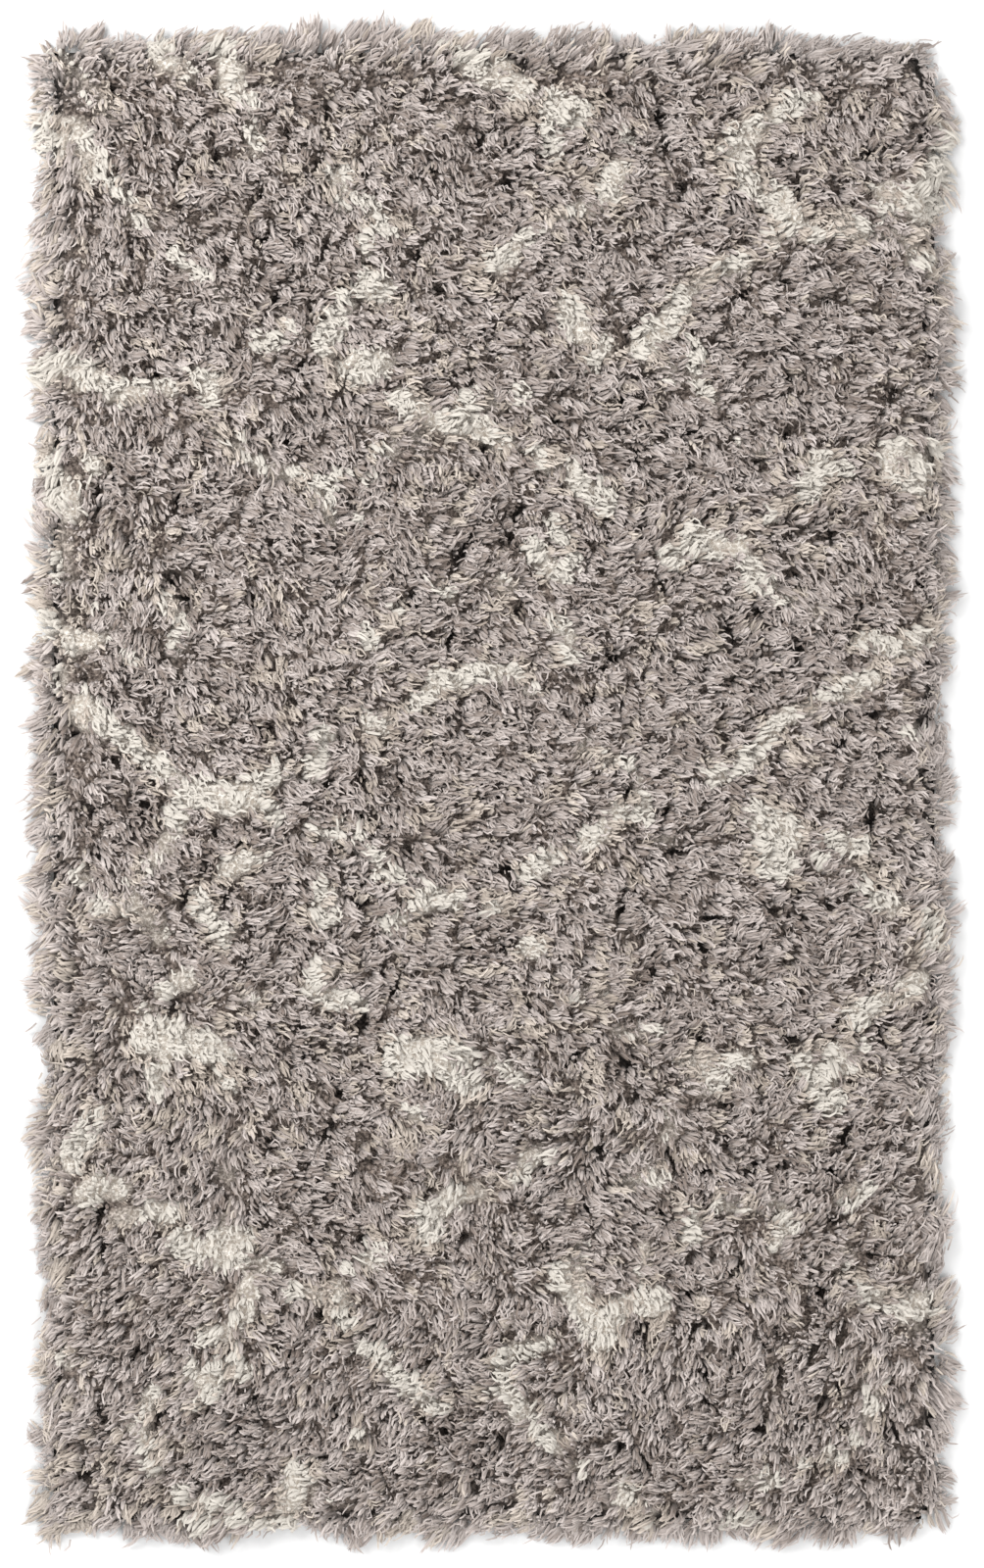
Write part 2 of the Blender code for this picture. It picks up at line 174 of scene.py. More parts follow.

# The largest partings, where the pile has opened down to its roots, painted dark as shade. Each row
# is one, laid out: its middle in centimetres from the middle of the weave, its width and length there,
# and its heading in degrees where it doesn't run straight up.
Parting = namedtuple("Parting", "x y width length heading", defaults=(90,))
PARTINGS = [Parting(*row) for row in [
    # left, from the top down to y = 27
    (-17.6, 70.4, 1.8, 3.8), (-17.7, 55.7, 1.8, 3.5), (-6.7, 64.3, 1.8, 2.4), (-13.8, 64.3, 1.4, 1.6),
    (-1.9, 67.3, 1.8, 2.4), (-7.7, 75.4, 1.5, 1.6), (-13.6, 75.2, 1.5, 1.6), (-28.8, 65.5, 1.5, 2.4),
    (-32.1, 64.3, 1.4, 2.0), (-32.3, 59.5, 1.5, 2.2), (-28, 54.7, 1.4, 2.6), (-25, 53.4, 1.5, 1.5),
    (-24.5, 61, 1.2, 2.4), (-23.7, 56.4, 1.4, 2.0), (-22.7, 50.3, 1.6, 1.6), (-19.2, 48.8, 1.6, 3.0),
    (-36.5, 50.7, 1.7, 1.7), (-21.4, 36.2, 1.6, 2.2), (-15.4, 41.8, 1.4, 3.0), (-19.7, 43.3, 1.2, 4.0),
    (-35.3, 42.5, 1.2, 2.4), (-32.6, 29.6, 1.6, 3.4), (-39.7, 32.6, 1.6, 2.4), (-41.2, 29.1, 2.0, 5.0),
    (-1.2, 34.9, 1.6, 2.4), (-5.7, 51.4, 1.4, 3.0), (-7.7, 54.9, 1.2, 3.0), (-21.4, 67.1, 1.5, 2.0),
    (-17.9, 64.3, 1.4, 2.2), (-43.7, 72.7, 1.6, 2.0), (-39.5, 72.2, 1.5, 2.0), (-34.5, 68, 1.5, 2.0),
    (-37.4, 64.5, 1.5, 2.0),
    # right, from the top down to y = 27
    (1.3, 62.3, 2.2, 3.2), (17.1, 69.1, 2.0, 2.6), (17.4, 66.3, 1.4, 3.0), (19.3, 62, 1.8, 2.2),
    (23.2, 75.7, 1.6, 3.4), (11.9, 71.7, 1.7, 1.7), (6.8, 73.9, 1.4, 2.4), (2.9, 74.7, 1.4, 2.4),
    (14, 47.1, 1.6, 2.8, 38), (2.3, 50.6, 2.0, 2.2), (31.7, 61.8, 1.5, 3.0, 115),
    (29.2, 64.5, 1.4, 2.4, 125), (38.8, 65.6, 1.6, 2.0), (44.1, 67.8, 1.9, 3.2, 60),
    (44.2, 73.7, 1.4, 3.0), (29.8, 52.1, 1.6, 1.6), (25.6, 50.8, 1.4, 2.0), (34.8, 50.3, 1.4, 2.0),
    (44.6, 47.7, 1.8, 2.2), (45.4, 43.3, 1.4, 5.5), (40.9, 40.7, 2.4, 2.6), (36.3, 40.7, 1.8, 1.8),
    (40, 38.2, 1.6, 1.6), (30.4, 42.5, 1.4, 2.0), (30.4, 36.4, 1.4, 2.2, 0), (20.5, 36.8, 1.8, 2.0, 0),
    (13, 39.7, 1.4, 2.4), (10.9, 43, 1.6, 1.6), (6.4, 37.7, 1.8, 4.0, 112), (14.9, 34.4, 1.4, 2.4),
    (2.6, 28.3, 2.0, 3.4, 55), (27.2, 33.4, 1.5, 1.5),
    # left, y = 27 to -27
    (-3.4, 24.3, 1.8, 6.0), (-33.6, 21.4, 1.8, 2.2, 0), (-31.8, 19.2, 1.8, 1.8), (-25.2, 19.2, 1.7, 1.7),
    (-37.8, 25.1, 1.4, 3.0), (-8.3, 19.2, 1.7, 2.8, 125), (-4.7, 15, 1.6, 3.4),
    (-23.5, 5.8, 1.6, 4.0, 155), (-20.9, 8.6, 1.4, 3.0, 155), (-21.2, 3.2, 1.8, 2.0),
    (-13.5, 0.5, 2.0, 3.2), (-17.4, 0.3, 1.6, 1.6), (-9.8, 1, 1.6, 2.2), (-8.6, -6.6, 2.2, 2.6),
    (-13.8, -3.6, 1.6, 1.6), (-14.3, -12.2, 1.4, 2.4), (-42, -2.3, 2.2, 2.6), (-39.5, 2.7, 1.6, 2.0),
    (-36.6, -2.1, 2.2, 4.5), (-28.6, -4.6, 1.7, 1.7), (-26.2, -6.1, 1.5, 1.5), (-30.1, -8.2, 2.0, 2.0),
    (-32.2, -11.7, 1.4, 3.0), (-40.7, -7.1, 1.6, 1.6), (-27.7, -11.5, 1.6, 2.6), (-36.4, -21.1, 1.7, 1.7),
    (-33.3, -22.9, 1.5, 1.5), (-25.7, -18.5, 1.6, 1.6), (-10.1, -20.8, 2.0, 2.0),
    (-13.8, -24.4, 1.8, 2.0), (-19.9, -24.9, 1.8, 2.0, 0), (-2.7, -16.9, 1.4, 1.8, 0),
    (-42.4, 11.3, 1.7, 1.7), (-43.8, 5.3, 1.2, 2.6),
    # right, y = 27 to -27
    (1.9, 25.5, 1.8, 5.0), (2.9, 17.9, 1.7, 2.8, 140), (12.1, 13.1, 1.5, 4.0, 68), (10.2, 9.3, 1.4, 3.0),
    (16.4, 13.9, 1.8, 2.0), (13.5, 8.2, 1.5, 1.5), (24.6, 16.2, 1.2, 2.6), (27.2, 17.7, 1.5, 1.5),
    (17.3, 20.6, 1.4, 2.4), (31.5, 21.5, 1.4, 2.0), (31.7, 14.3, 1.5, 1.5), (37.8, 17.9, 1.5, 1.5),
    (44.1, 21, 1.2, 2.4), (34.7, 26, 1.6, 2.4), (39.3, 7.5, 1.6, 2.0, 0), (44.4, 7, 1.6, 2.4),
    (35.9, 3.7, 1.4, 1.8), (44.6, 1.2, 1.8, 2.4), (44.5, -2.6, 1.7, 1.7), (39.1, -3.3, 1.8, 4.5),
    (30.2, 2, 1.6, 1.8, 0), (17.5, -2.8, 1.5, 2.0, 45), (19, -7.1, 1.8, 4.0, 45), (1.3, -8.5, 2.0, 2.4),
    (13.7, -0.6, 1.2, 3.0), (27.2, 7.3, 1.5, 2.4, 45), (34.8, -12.2, 1.6, 2.0, 0), (32, -13.5, 1.2, 2.4),
    (28.3, -13, 1.2, 2.4, 115), (22.6, -13.7, 1.5, 2.3, 45), (21.7, -16.9, 1.5, 2.8, 118),
    (27.8, -16.8, 1.5, 1.5), (16.5, -19.6, 1.5, 1.5), (13.5, -13, 1.6, 1.6), (44.9, -23.4, 1.8, 3.0),
    (38.8, -20.3, 1.4, 2.0), (40.1, -25.9, 1.6, 2.0), (21.6, -25.9, 1.6, 1.6),
    (30.4, -25.9, 1.7, 2.8, 140), (1.1, -16.9, 1.4, 1.4), (6.9, -26.1, 1.5, 1.5),
    # left, below y = -27
    (-19.9, -27.7, 1.8, 2.0, 0), (-15.7, -32, 1.8, 1.8), (-17.4, -35.5, 1.6, 3.4),
    (-12.7, -38.3, 1.8, 1.8), (-7.2, -41.1, 1.7, 2.6, 120), (-23.2, -37, 1.4, 2.4),
    (-24.1, -43.6, 1.4, 4.5), (-18.9, -47.4, 1.8, 2.4), (-13.5, -47.2, 1.7, 1.7), (-3.3, -46.9, 1.8, 1.8),
    (-40.7, -44.1, 1.9, 1.9), (-40.4, -48.2, 1.6, 1.6), (-38.3, -52.7, 1.6, 2.0, 0),
    (-37.1, -58.8, 2.0, 3.0), (-18, -55, 1.7, 1.7), (-20.8, -58.6, 1.8, 3.2), (-7, -59.6, 1.5, 1.5),
    (-16.5, -64.9, 1.5, 1.5), (-24.2, -64.1, 1.8, 3.4), (-26.4, -67.1, 1.5, 1.5),
    (-4.7, -66.9, 2.0, 2.2, 0), (-7, -65.2, 1.5, 1.5), (0.3, -67.8, 2.4, 2.4), (-40.9, -64.9, 2.0, 2.0),
    (-42.2, -71.2, 2.2, 2.4), (-38.8, -74.3, 1.6, 2.4), (-34.6, -65.4, 1.6, 2.0),
    (-10.7, -72.7, 1.6, 1.6), (-33.6, -36.8, 1.7, 1.7), (-0.9, -36.8, 1.5, 1.5),
    # right, below y = -27
    (8.2, -28.2, 1.4, 3.0, 62), (13.5, -28.4, 2.2, 3.8, 125), (14.5, -32.5, 1.5, 1.5),
    (24.1, -32.5, 1.4, 2.2, 0), (23.7, -36.5, 2.2, 3.2, 0), (28.2, -36.5, 1.4, 2.4),
    (36.3, -36.8, 2.4, 4.0), (18.3, -38.3, 1.8, 3.2), (10.9, -37.8, 1.3, 2.6, 150),
    (2.6, -43.1, 1.7, 3.2, 150), (9.8, -43.6, 1.6, 2.2), (17.6, -44.4, 1.4, 3.0), (26.9, -39.6, 1.6, 2.4),
    (30.3, -39.1, 1.7, 1.7), (21.6, -40.3, 1.7, 1.7), (35, -40.2, 2.4, 3.0, 0), (35.3, -45.1, 1.6, 2.4),
    (41.3, -46.2, 1.7, 1.7), (39.6, -48.4, 2.0, 2.8, 0), (33.6, -52.5, 2.2, 3.0),
    (24.9, -49.7, 2.0, 3.4, 52), (5.4, -48, 1.5, 1.5), (20.3, -53.1, 1.6, 1.6), (25.6, -53, 1.6, 2.4),
    (21.1, -56, 1.8, 2.4), (29.2, -56.5, 1.6, 2.4), (35.8, -56.5, 2.4, 2.4), (33, -58.6, 1.6, 4.0),
    (15.3, -56.5, 2.0, 4.0), (21.8, -60.6, 1.8, 4.0), (29.3, -61.1, 1.6, 2.4), (27.6, -57.4, 1.6, 2.4),
    (24.6, -59.6, 1.6, 2.4), (22.6, -64, 1.4, 2.4, 30), (36, -62.4, 1.6, 2.4),
    (33.8, -63.6, 1.8, 2.8, 40), (36, -66.4, 1.7, 1.7), (31.7, -65.9, 1.8, 2.4),
    (27.7, -66.7, 2.0, 2.4, 0), (17.8, -66.7, 1.6, 2.0), (13, -68.7, 1.7, 1.7), (15.8, -70, 1.8, 3.4),
    (38.3, -71.2, 2.2, 2.8, 0), (41.3, -66.7, 1.8, 4.0), (33.2, -70.2, 1.4, 2.4),
]]
PARTING_TAPER = 0.9  # of its half-length, where it has narrowed to about a third
PARTING_TURN = 30  # degrees either way, by which its heading strays
CROOK_SIZE = 0.011  # of the bends in its sides
CROOK_DEPTH = 0.005

# The cream yarn makes a broken diamond lattice, a common one on shag rugs, worn into short streaks.
# Each row is one streak, laid out: how much of its yarn is cream, its width, and the places
# that it runs through. Lengths are in centimetres from the middle of the weave.
Streak = namedtuple("Streak", "share width run")
STREAKS = [Streak(*row) for row in [
    # left, from the top down to y = 27
    (0.35, 3.0, [(-45, 75.5), (-43, 73)]), (0.3, 2.5, [(-41.4, 71.6), (-39.6, 69.4)]),
    (0.95, 3.2, [(-34.2, 77.5), (-33.8, 75.5)]), (0.4, 2.6, [(-32.8, 75), (-32, 73.5)]),
    (0.95, 2.8, [(-27.6, 77), (-27, 72.5)]), (0.45, 2.2, [(-27, 72.5), (-25.5, 70), (-24.5, 66)]),
    (0.8, 4.0, [(-48, 68), (-43.5, 67.3)]), (0.65, 3.6, [(-44, 66), (-41.5, 64)]),
    (0.5, 1.8, [(-39.2, 62.3), (-36, 58)]), (0.35, 1.6, [(-33, 55), (-30, 52.5), (-28, 50.5)]),
    (0.6, 3.4, [(-23.5, 46), (-21, 47.5)]), (0.85, 2.6, [(-15.4, 49.6), (-17.4, 45.6)]),
    (0.85, 3.0, [(-15.8, 62.6), (-15.3, 60.8)]), (0.45, 2.0, [(-14, 60.8), (-12.3, 59), (-10.5, 57)]),
    (0.5, 1.6, [(-12.7, 58), (-12.9, 55)]), (0.95, 3.0, [(-12.8, 51.7), (-11.6, 51.3)]),
    (0.95, 3.6, [(-14.3, 43.2), (-11.8, 43.6)]), (0.95, 3.0, [(-48, 43), (-44.5, 43.4), (-41.5, 42)]),
    (0.85, 2.2, [(-41.5, 42), (-39.5, 40.5), (-36.5, 40.5)]), (0.75, 1.9, [(-36.5, 40.8), (-33.3, 41.1)]),
    (0.4, 1.6, [(-38.5, 39.7), (-37, 39.2)]), (0.95, 3.2, [(-29.9, 42.4), (-29.2, 41.8)]),
    (0.4, 2.2, [(-29.5, 40), (-29, 37)]), (0.75, 1.9, [(-41.6, 33.8), (-41, 33)]),
    (0.85, 3.4, [(-46.8, 32), (-44, 29)]), (0.6, 1.9, [(-26.6, 35), (-24, 33.2), (-20.5, 31.8)]),
    (0.45, 1.8, [(-17, 31), (-14, 31.6), (-12.2, 32.6), (-10.2, 34.8), (-9.8, 36.5)]),
    (0.6, 2.4, [(-18, 30.6), (-17, 27.8)]), (0.4, 2.2, [(-8, 37), (-7.6, 34.6)]),
    (0.35, 1.6, [(-14.2, 28.1), (-13.6, 27.9)]),
    (0.9, 2.5, [(-9.5, 40.3), (-8, 38.8), (-5.5, 38), (-2, 37.4)]), (0.85, 2.2, [(-2, 37.4), (1.2, 35)]),
    (0.45, 2.4, [(-3, 39.4), (0.5, 40), (3, 40.5)]),
    # right, from the top down to y = 27
    (0.6, 4.4, [(-3.4, 77.5), (-0.4, 74)]), (0.85, 2.6, [(0.8, 75), (1.2, 73), (3.4, 71.6)]),
    (0.85, 3.6, [(6, 70.2), (8.8, 69.2)]), (0.4, 2.4, [(6, 67.8), (6.5, 66)]),
    (0.4, 1.9, [(13.9, 66.8), (13.3, 64.3)]), (0.95, 2.7, [(13.1, 63.3), (12.1, 60.8)]),
    (0.65, 2.0, [(11.5, 60.3), (8, 59.3), (5, 57.5), (2, 55.5)]), (0.9, 2.8, [(1.6, 55), (0.6, 54)]),
    (0.75, 2.4, [(32.7, 70.9), (30, 70), (27.3, 67.9), (25, 66.2)]),
    (0.9, 2.4, [(25, 66.4), (24.6, 65.6)]),
    (0.85, 2.5, [(25.3, 65.2), (26.2, 63), (28, 61.3), (29.5, 60.6)]),
    (0.95, 2.9, [(29.7, 60.4), (31.2, 58)]), (0.8, 2.0, [(31.4, 57.9), (33.6, 56.9)]),
    (0.6, 2.0, [(28.2, 56.7), (28.8, 56.3)]), (0.85, 2.8, [(36.3, 58), (37.2, 57.5)]),
    (0.5, 1.8, [(37.8, 57.4), (40.5, 57.2), (42.4, 56.2)]),
    (0.6, 2.0, [(42.4, 56.2), (44, 54.6), (46.4, 53.2)]),
    (0.95, 4.2, [(47, 66.4), (46.4, 62.4), (44.4, 60)]), (0.7, 3.0, [(40.8, 61.5), (41.5, 60)]),
    (0.9, 2.2, [(26, 54), (25, 53.6)]), (0.7, 1.8, [(25, 53.6), (23, 53), (19.5, 50.5)]),
    (0.95, 2.8, [(19.4, 49.8), (18.4, 48)]), (0.95, 3.0, [(17.8, 47.3), (15.4, 45.3)]),
    (0.6, 1.7, [(15.4, 45), (17.5, 43.5), (18.6, 42)]), (0.5, 2.3, [(21, 45), (21, 43.3)]),
    (0.3, 1.9, [(21, 43), (21.5, 41.3), (23, 40)]), (0.9, 2.9, [(7.7, 49.2), (9, 46.6)]),
    (0.6, 2.2, [(9.4, 46.6), (11.2, 46), (10.5, 43.8)]), (0.8, 2.2, [(4.8, 34.3), (5.6, 33.2)]),
    (0.85, 2.2, [(7.8, 32.7), (9.2, 30.8), (12, 29.2)]), (0.5, 1.8, [(26, 35.3), (28.5, 34.5)]),
    (0.95, 3.1, [(33.9, 33.6), (33.1, 31.4)]), (0.45, 2.2, [(35.5, 33.6), (36.5, 32.6)]),
    (0.55, 1.8, [(32.5, 31.2), (30.5, 31.4), (30, 29.6), (28.4, 28)]),
    (0.9, 4.8, [(42, 33.6), (44.2, 31.8)]), (0.5, 2.2, [(44.5, 34.5), (46.5, 34.8)]),
    # left, y = 27 to -27
    (0.25, 3.0, [(-45.2, 25.6), (-44.6, 22)]), (0.55, 2.4, [(-47.4, 11.6), (-45, 11)]),
    (0.95, 2.5, [(-47.4, 17), (-46, 16.4), (-43.4, 14.5), (-41.5, 14.9)]),
    (0.4, 2.8, [(-40.5, 17.3), (-39, 16.3)]), (0.6, 2.0, [(-38, 13.6), (-37.2, 13.1)]),
    (0.6, 2.0, [(-33.4, 18.6), (-32.2, 16), (-33.3, 14.4)]), (0.95, 3.4, [(-42.6, 8), (-40.6, 6.4)]),
    (0.85, 2.3, [(-39.3, 6), (-35.2, 2.8), (-33.5, 1.2), (-31.5, -0.2)]),
    (1.0, 3.2, [(-31, -0.6), (-28.3, -1.3), (-24.8, -1.3)]), (0.75, 1.9, [(-24.5, -1.5), (-22, -3)]),
    (0.6, 1.9, [(-24.2, 0), (-21.4, 1.3)]), (0.75, 2.3, [(-32, -1.8), (-33.2, -5)]),
    (0.55, 2.2, [(-33.4, -5.5), (-35.7, -8.4)]), (0.95, 2.5, [(-17.5, 5), (-18.4, 1.6)]),
    (0.75, 2.3, [(-12.6, 6.8), (-11.6, 6.5)]), (0.45, 1.8, [(-11, 7), (-9.3, 7.4)]),
    (0.85, 2.3, [(-7.7, 8.8), (-5.6, 11)]), (0.85, 2.3, [(-5.2, 10.8), (-2, 11.4), (2.6, 11.8)]),
    (0.6, 1.8, [(2.8, 11.7), (4, 10)]), (0.45, 2.0, [(-12.9, 15.6), (-11.8, 13.2)]),
    (0.4, 1.9, [(-10.5, 18), (-9.6, 17.4)]), (0.4, 1.8, [(-5.4, 20.2), (-4.6, 19.9)]),
    (0.6, 2.6, [(-18, -4), (-16.6, -4.7)]), (0.5, 1.7, [(-16, -4.2), (-14, -5.4), (-12, -7.4)]),
    (0.85, 2.2, [(-23.8, -7), (-27.4, -8.6)]), (0.8, 2.4, [(-30.6, -11.8), (-27.9, -15.4)]),
    (0.5, 2.4, [(-35.6, -13.8), (-34.6, -15.2)]), (0.8, 2.6, [(-17.2, -10.8), (-17.1, -13.4)]),
    (0.7, 1.9, [(-40.8, -12.6), (-37.2, -12.3)]), (0.5, 1.6, [(-37.2, -12), (-37.4, -10.3)]),
    (0.55, 1.8, [(-42.9, -9.6), (-42.2, -9.9)]), (0.75, 2.2, [(-34.4, -21.1), (-31.3, -19.8)]),
    (0.6, 1.8, [(-25.5, -21.8), (-24.8, -22.2)]), (0.35, 1.8, [(-36, -23.4), (-35.2, -23.7)]),
    (0.95, 2.5, [(-17.4, -18.8), (-18.5, -21), (-15.3, -22)]), (0.6, 1.7, [(-15, -22), (-13.4, -22.3)]),
    (0.7, 1.8, [(-11, -14.7), (-8, -12.6)]), (0.9, 2.5, [(-7, -11.9), (-4, -11.6)]),
    (0.4, 1.6, [(-12.2, -9), (-9, -9.6), (-7.2, -10.6)]),
    # right, y = 27 to -27
    (0.8, 2.3, [(4.2, 24.6), (7, 21.4)]), (0.4, 2.6, [(6.6, 27.3), (7.4, 26)]),
    (0.5, 1.8, [(8.3, 23.3), (8.9, 22.8)]), (0.6, 2.4, [(18.2, 24.1), (18.9, 23.8)]),
    (0.95, 3.2, [(21.4, 25.6), (24.8, 24.6)]), (0.8, 2.5, [(26.6, 22.6), (28.1, 20.6)]),
    (0.45, 1.8, [(28.6, 20.4), (31.2, 19.1), (33, 17.4)]), (0.45, 2.2, [(0.6, 20.9), (1.4, 20.6)]),
    (0.85, 2.4, [(6.9, 16.5), (7.5, 15.2)]), (0.65, 2.1, [(7.2, 15), (8.2, 13.4)]),
    (0.8, 2.3, [(38.3, 15), (42, 14), (45.4, 15.5)]), (0.95, 2.6, [(38.8, 11), (37.2, 10.2)]),
    (0.7, 1.9, [(36.8, 9.9), (35, 9), (32.5, 7.8), (29.6, 7)]),
    (0.7, 2.0, [(29.4, 6.8), (28, 4.2), (26, 2.2)]), (0.7, 2.2, [(25.7, 2.1), (22.8, 0.9)]),
    (0.4, 1.8, [(43, 5.7), (43.6, 5.4)]), (0.5, 2.4, [(9.4, 4.1), (11.4, 3)]),
    (0.35, 1.6, [(5.2, 6.1), (5.8, 5.9)]), (0.7, 2.2, [(14.4, 2.4), (15.4, -1.2), (15.7, -3)]),
    (0.35, 1.8, [(17, -5.6), (18.4, -5.4)]), (0.75, 2.0, [(3.8, -9.2), (7.7, -6.6), (9.4, -5.9)]),
    (0.9, 2.3, [(9.6, -5.8), (11.2, -4.6), (13.3, -2.5)]), (1.0, 4.2, [(27.8, -3.6), (30, -4.9)]),
    (1.0, 4.0, [(30, -4.9), (29.5, -8)]), (0.7, 2.2, [(35.4, -5.3), (38, -6.3)]),
    (0.5, 2.0, [(34.2, -7.5), (36.3, -8.6), (38.6, -10.2)]), (0.8, 2.6, [(40.2, -12.2), (41.3, -12.5)]),
    (0.75, 2.4, [(45.4, -12.8), (45.9, -17)]), (0.95, 2.3, [(44.6, -20), (43.4, -20.5), (40.6, -21.8)]),
    (0.85, 2.3, [(40.4, -21.9), (37.3, -23.9)]), (0.8, 2.4, [(3.6, -16.7), (4.3, -17)]),
    (0.6, 2.2, [(-0.2, -12.7), (0.4, -13.4)]), (0.35, 1.6, [(8.6, -21.5), (12, -21)]),
    (0.5, 2.0, [(13, -25.4), (17, -25.6)]),
    # left, below y = -27
    (0.95, 3.8, [(-35.6, -25.8), (-32, -26.3)]), (0.95, 3.2, [(-31.6, -26.3), (-28.2, -27.5)]),
    (0.8, 2.0, [(-34.2, -28.5), (-35.3, -32)]), (0.8, 1.9, [(-27.7, -30.5), (-27, -30.9)]),
    (0.9, 2.5, [(-41.4, -34.8), (-43.6, -37.4), (-44.2, -39)]), (1.0, 4.4, [(-9, -28.2), (-4.4, -27.9)]),
    (0.85, 2.8, [(-4, -30.2), (-2.4, -30.7)]), (0.6, 2.0, [(-0.4, -29), (2.6, -30.5)]),
    (0.55, 1.8, [(-8.6, -33.8), (-8, -34.2)]), (0.35, 1.6, [(-1.7, -32.9), (-1.1, -33.2)]),
    (0.9, 2.5, [(-6.4, -46), (-6.7, -44), (-4, -42.5)]), (0.65, 1.9, [(-3.8, -42.4), (-1.6, -41.9)]),
    (0.85, 2.8, [(-42.2, -42.4), (-40.8, -41.2), (-38.8, -41.6)]),
    (0.5, 1.8, [(-39, -44.6), (-35.4, -44.2)]), (0.9, 2.5, [(-35.2, -43.9), (-33.4, -44.2)]),
    (0.95, 3.2, [(-32.4, -47.4), (-29.6, -48.9), (-26.4, -48.8)]),
    (0.9, 2.4, [(-28.8, -46.8), (-25.6, -47.2)]), (0.4, 2.2, [(-27.6, -45.4), (-26.6, -46)]),
    (0.3, 2.2, [(-28.4, -39.2), (-27.6, -40.2)]), (0.6, 2.3, [(-23.8, -49.4), (-22.9, -49.7)]),
    (0.8, 2.4, [(-25.2, -51.4), (-25.8, -54.8)]),
    (0.7, 2.2, [(-26.4, -55.4), (-28, -57), (-29.8, -57.2)]),
    (0.65, 1.9, [(-20.5, -52.4), (-18, -53), (-16.2, -52)]),
    (0.8, 2.0, [(-16, -52.4), (-15.8, -55), (-14.4, -57.4)]), (0.4, 1.7, [(-14.2, -57.6), (-12, -59.3)]),
    (0.8, 2.7, [(-11.6, -48.4), (-12.6, -49)]), (0.5, 1.8, [(-13, -49.3), (-14.2, -50.2)]),
    (0.7, 2.2, [(-11.8, -59.4), (-10.4, -61), (-8.5, -62.3)]), (0.6, 2.1, [(-8.4, -62.4), (-6, -64.2)]),
    (0.5, 1.6, [(-1.3, -61.8), (-0.6, -62.1)]), (0.9, 2.7, [(-31.4, -60.8), (-30, -62.3), (-28, -60.5)]),
    (0.85, 2.0, [(-27, -60.2), (-25.8, -60.8)]), (0.8, 2.2, [(-35.6, -63), (-37.2, -65.8)]),
    (0.9, 2.4, [(-37.2, -65.8), (-36.2, -68.8), (-35.4, -70.6)]),
    (0.5, 1.9, [(-32.4, -63.8), (-31.3, -64.3)]), (0.5, 2.0, [(-44.9, -59.3), (-44, -59.7)]),
    (0.95, 2.8, [(-20.8, -71.2), (-21.5, -74.6), (-21.2, -77.4)]),
    (0.35, 2.0, [(-18.6, -72.6), (-18, -73.6)]), (0.65, 2.5, [(-32.5, -73.4), (-28, -75.5), (-24, -76)]),
    (0.7, 2.6, [(-31.6, -76.9), (-30.4, -77.2)]), (0.5, 1.8, [(-13.9, -67.3), (-13.2, -67.6)]),
    # right, below y = -27
    (0.7, 2.3, [(4.6, -38.2), (2.4, -39.8)]), (0.9, 2.4, [(14.3, -38.9), (16.6, -41)]),
    (0.5, 1.8, [(13.4, -41), (17.6, -41)]), (0.4, 1.9, [(18.6, -33.2), (18, -36.2)]),
    (0.85, 2.6, [(20, -44.4), (21, -46.6)]), (0.65, 1.9, [(23.6, -43.3), (27.8, -42.8), (30.2, -44)]),
    (0.8, 2.0, [(30.8, -45.2), (29.3, -47.1)]), (0.65, 2.6, [(20.3, -28.6), (21.8, -28), (23.4, -30.2)]),
    (0.55, 1.9, [(20.2, -30.4), (22, -31.6)]), (0.75, 2.2, [(25.2, -28.3), (26, -28.7)]),
    (0.75, 3.4, [(32.6, -28.8), (36.4, -28.4)]), (0.85, 3.2, [(34, -30.2), (35.2, -32.4)]),
    (0.5, 2.0, [(37.4, -27.6), (38.3, -26.6)]), (0.4, 1.6, [(38.2, -33.8), (38.9, -34.2)]),
    (0.5, 1.8, [(38.6, -41.4), (36, -42.9)]), (0.4, 1.8, [(35.6, -48.4), (36.4, -49.2)]),
    (1.0, 3.4, [(7.6, -50.6), (8.6, -53)]), (1.0, 3.4, [(9, -53.6), (11, -56.8)]),
    (0.9, 3.0, [(12.2, -55), (14, -53.6), (17, -53.4)]), (0.55, 1.9, [(15, -50.8), (15.6, -47.8)]),
    (0.55, 2.0, [(8.8, -49.4), (9.2, -47.6)]), (0.55, 1.9, [(5.4, -57.4), (2.6, -58.4)]),
    (0.85, 2.2, [(1, -58.8), (0.6, -60.6)]), (0.9, 2.5, [(1.2, -62.8), (3, -65), (5.4, -67.4)]),
    (0.6, 1.8, [(5.6, -67.5), (6.8, -68.3)]), (0.35, 1.8, [(8, -70.4), (9, -71.2)]),
    (0.9, 2.6, [(12.7, -73.3), (13.4, -73.9)]), (0.5, 2.0, [(15.8, -74.9), (16.6, -77.2)]),
    (0.65, 2.0, [(38.2, -51.9), (42, -53.9)]), (0.9, 2.8, [(42.4, -54.2), (45.8, -53.4)]),
    (0.3, 2.2, [(43.4, -55.8), (44.6, -57)]), (0.55, 2.2, [(39, -61), (39.2, -64), (37.7, -67.5)]),
    (0.6, 1.9, [(34.4, -69), (35.2, -69.5)]), (0.5, 1.8, [(31.2, -70.3), (31.8, -70.6)]),
    (0.65, 2.2, [(28.4, -71.8), (25.9, -71.5)]), (0.6, 2.3, [(24.8, -76.2), (26.6, -76.4)]),
]]
STREAK_EDGE = 1.1  # where its cream yarn ends, in half-widths from its middle line
STREAK_FADE = 0.3  # over which the cream yarn thins out
BORDER_EDGE = 2.2  # where the beige yarn round it ends


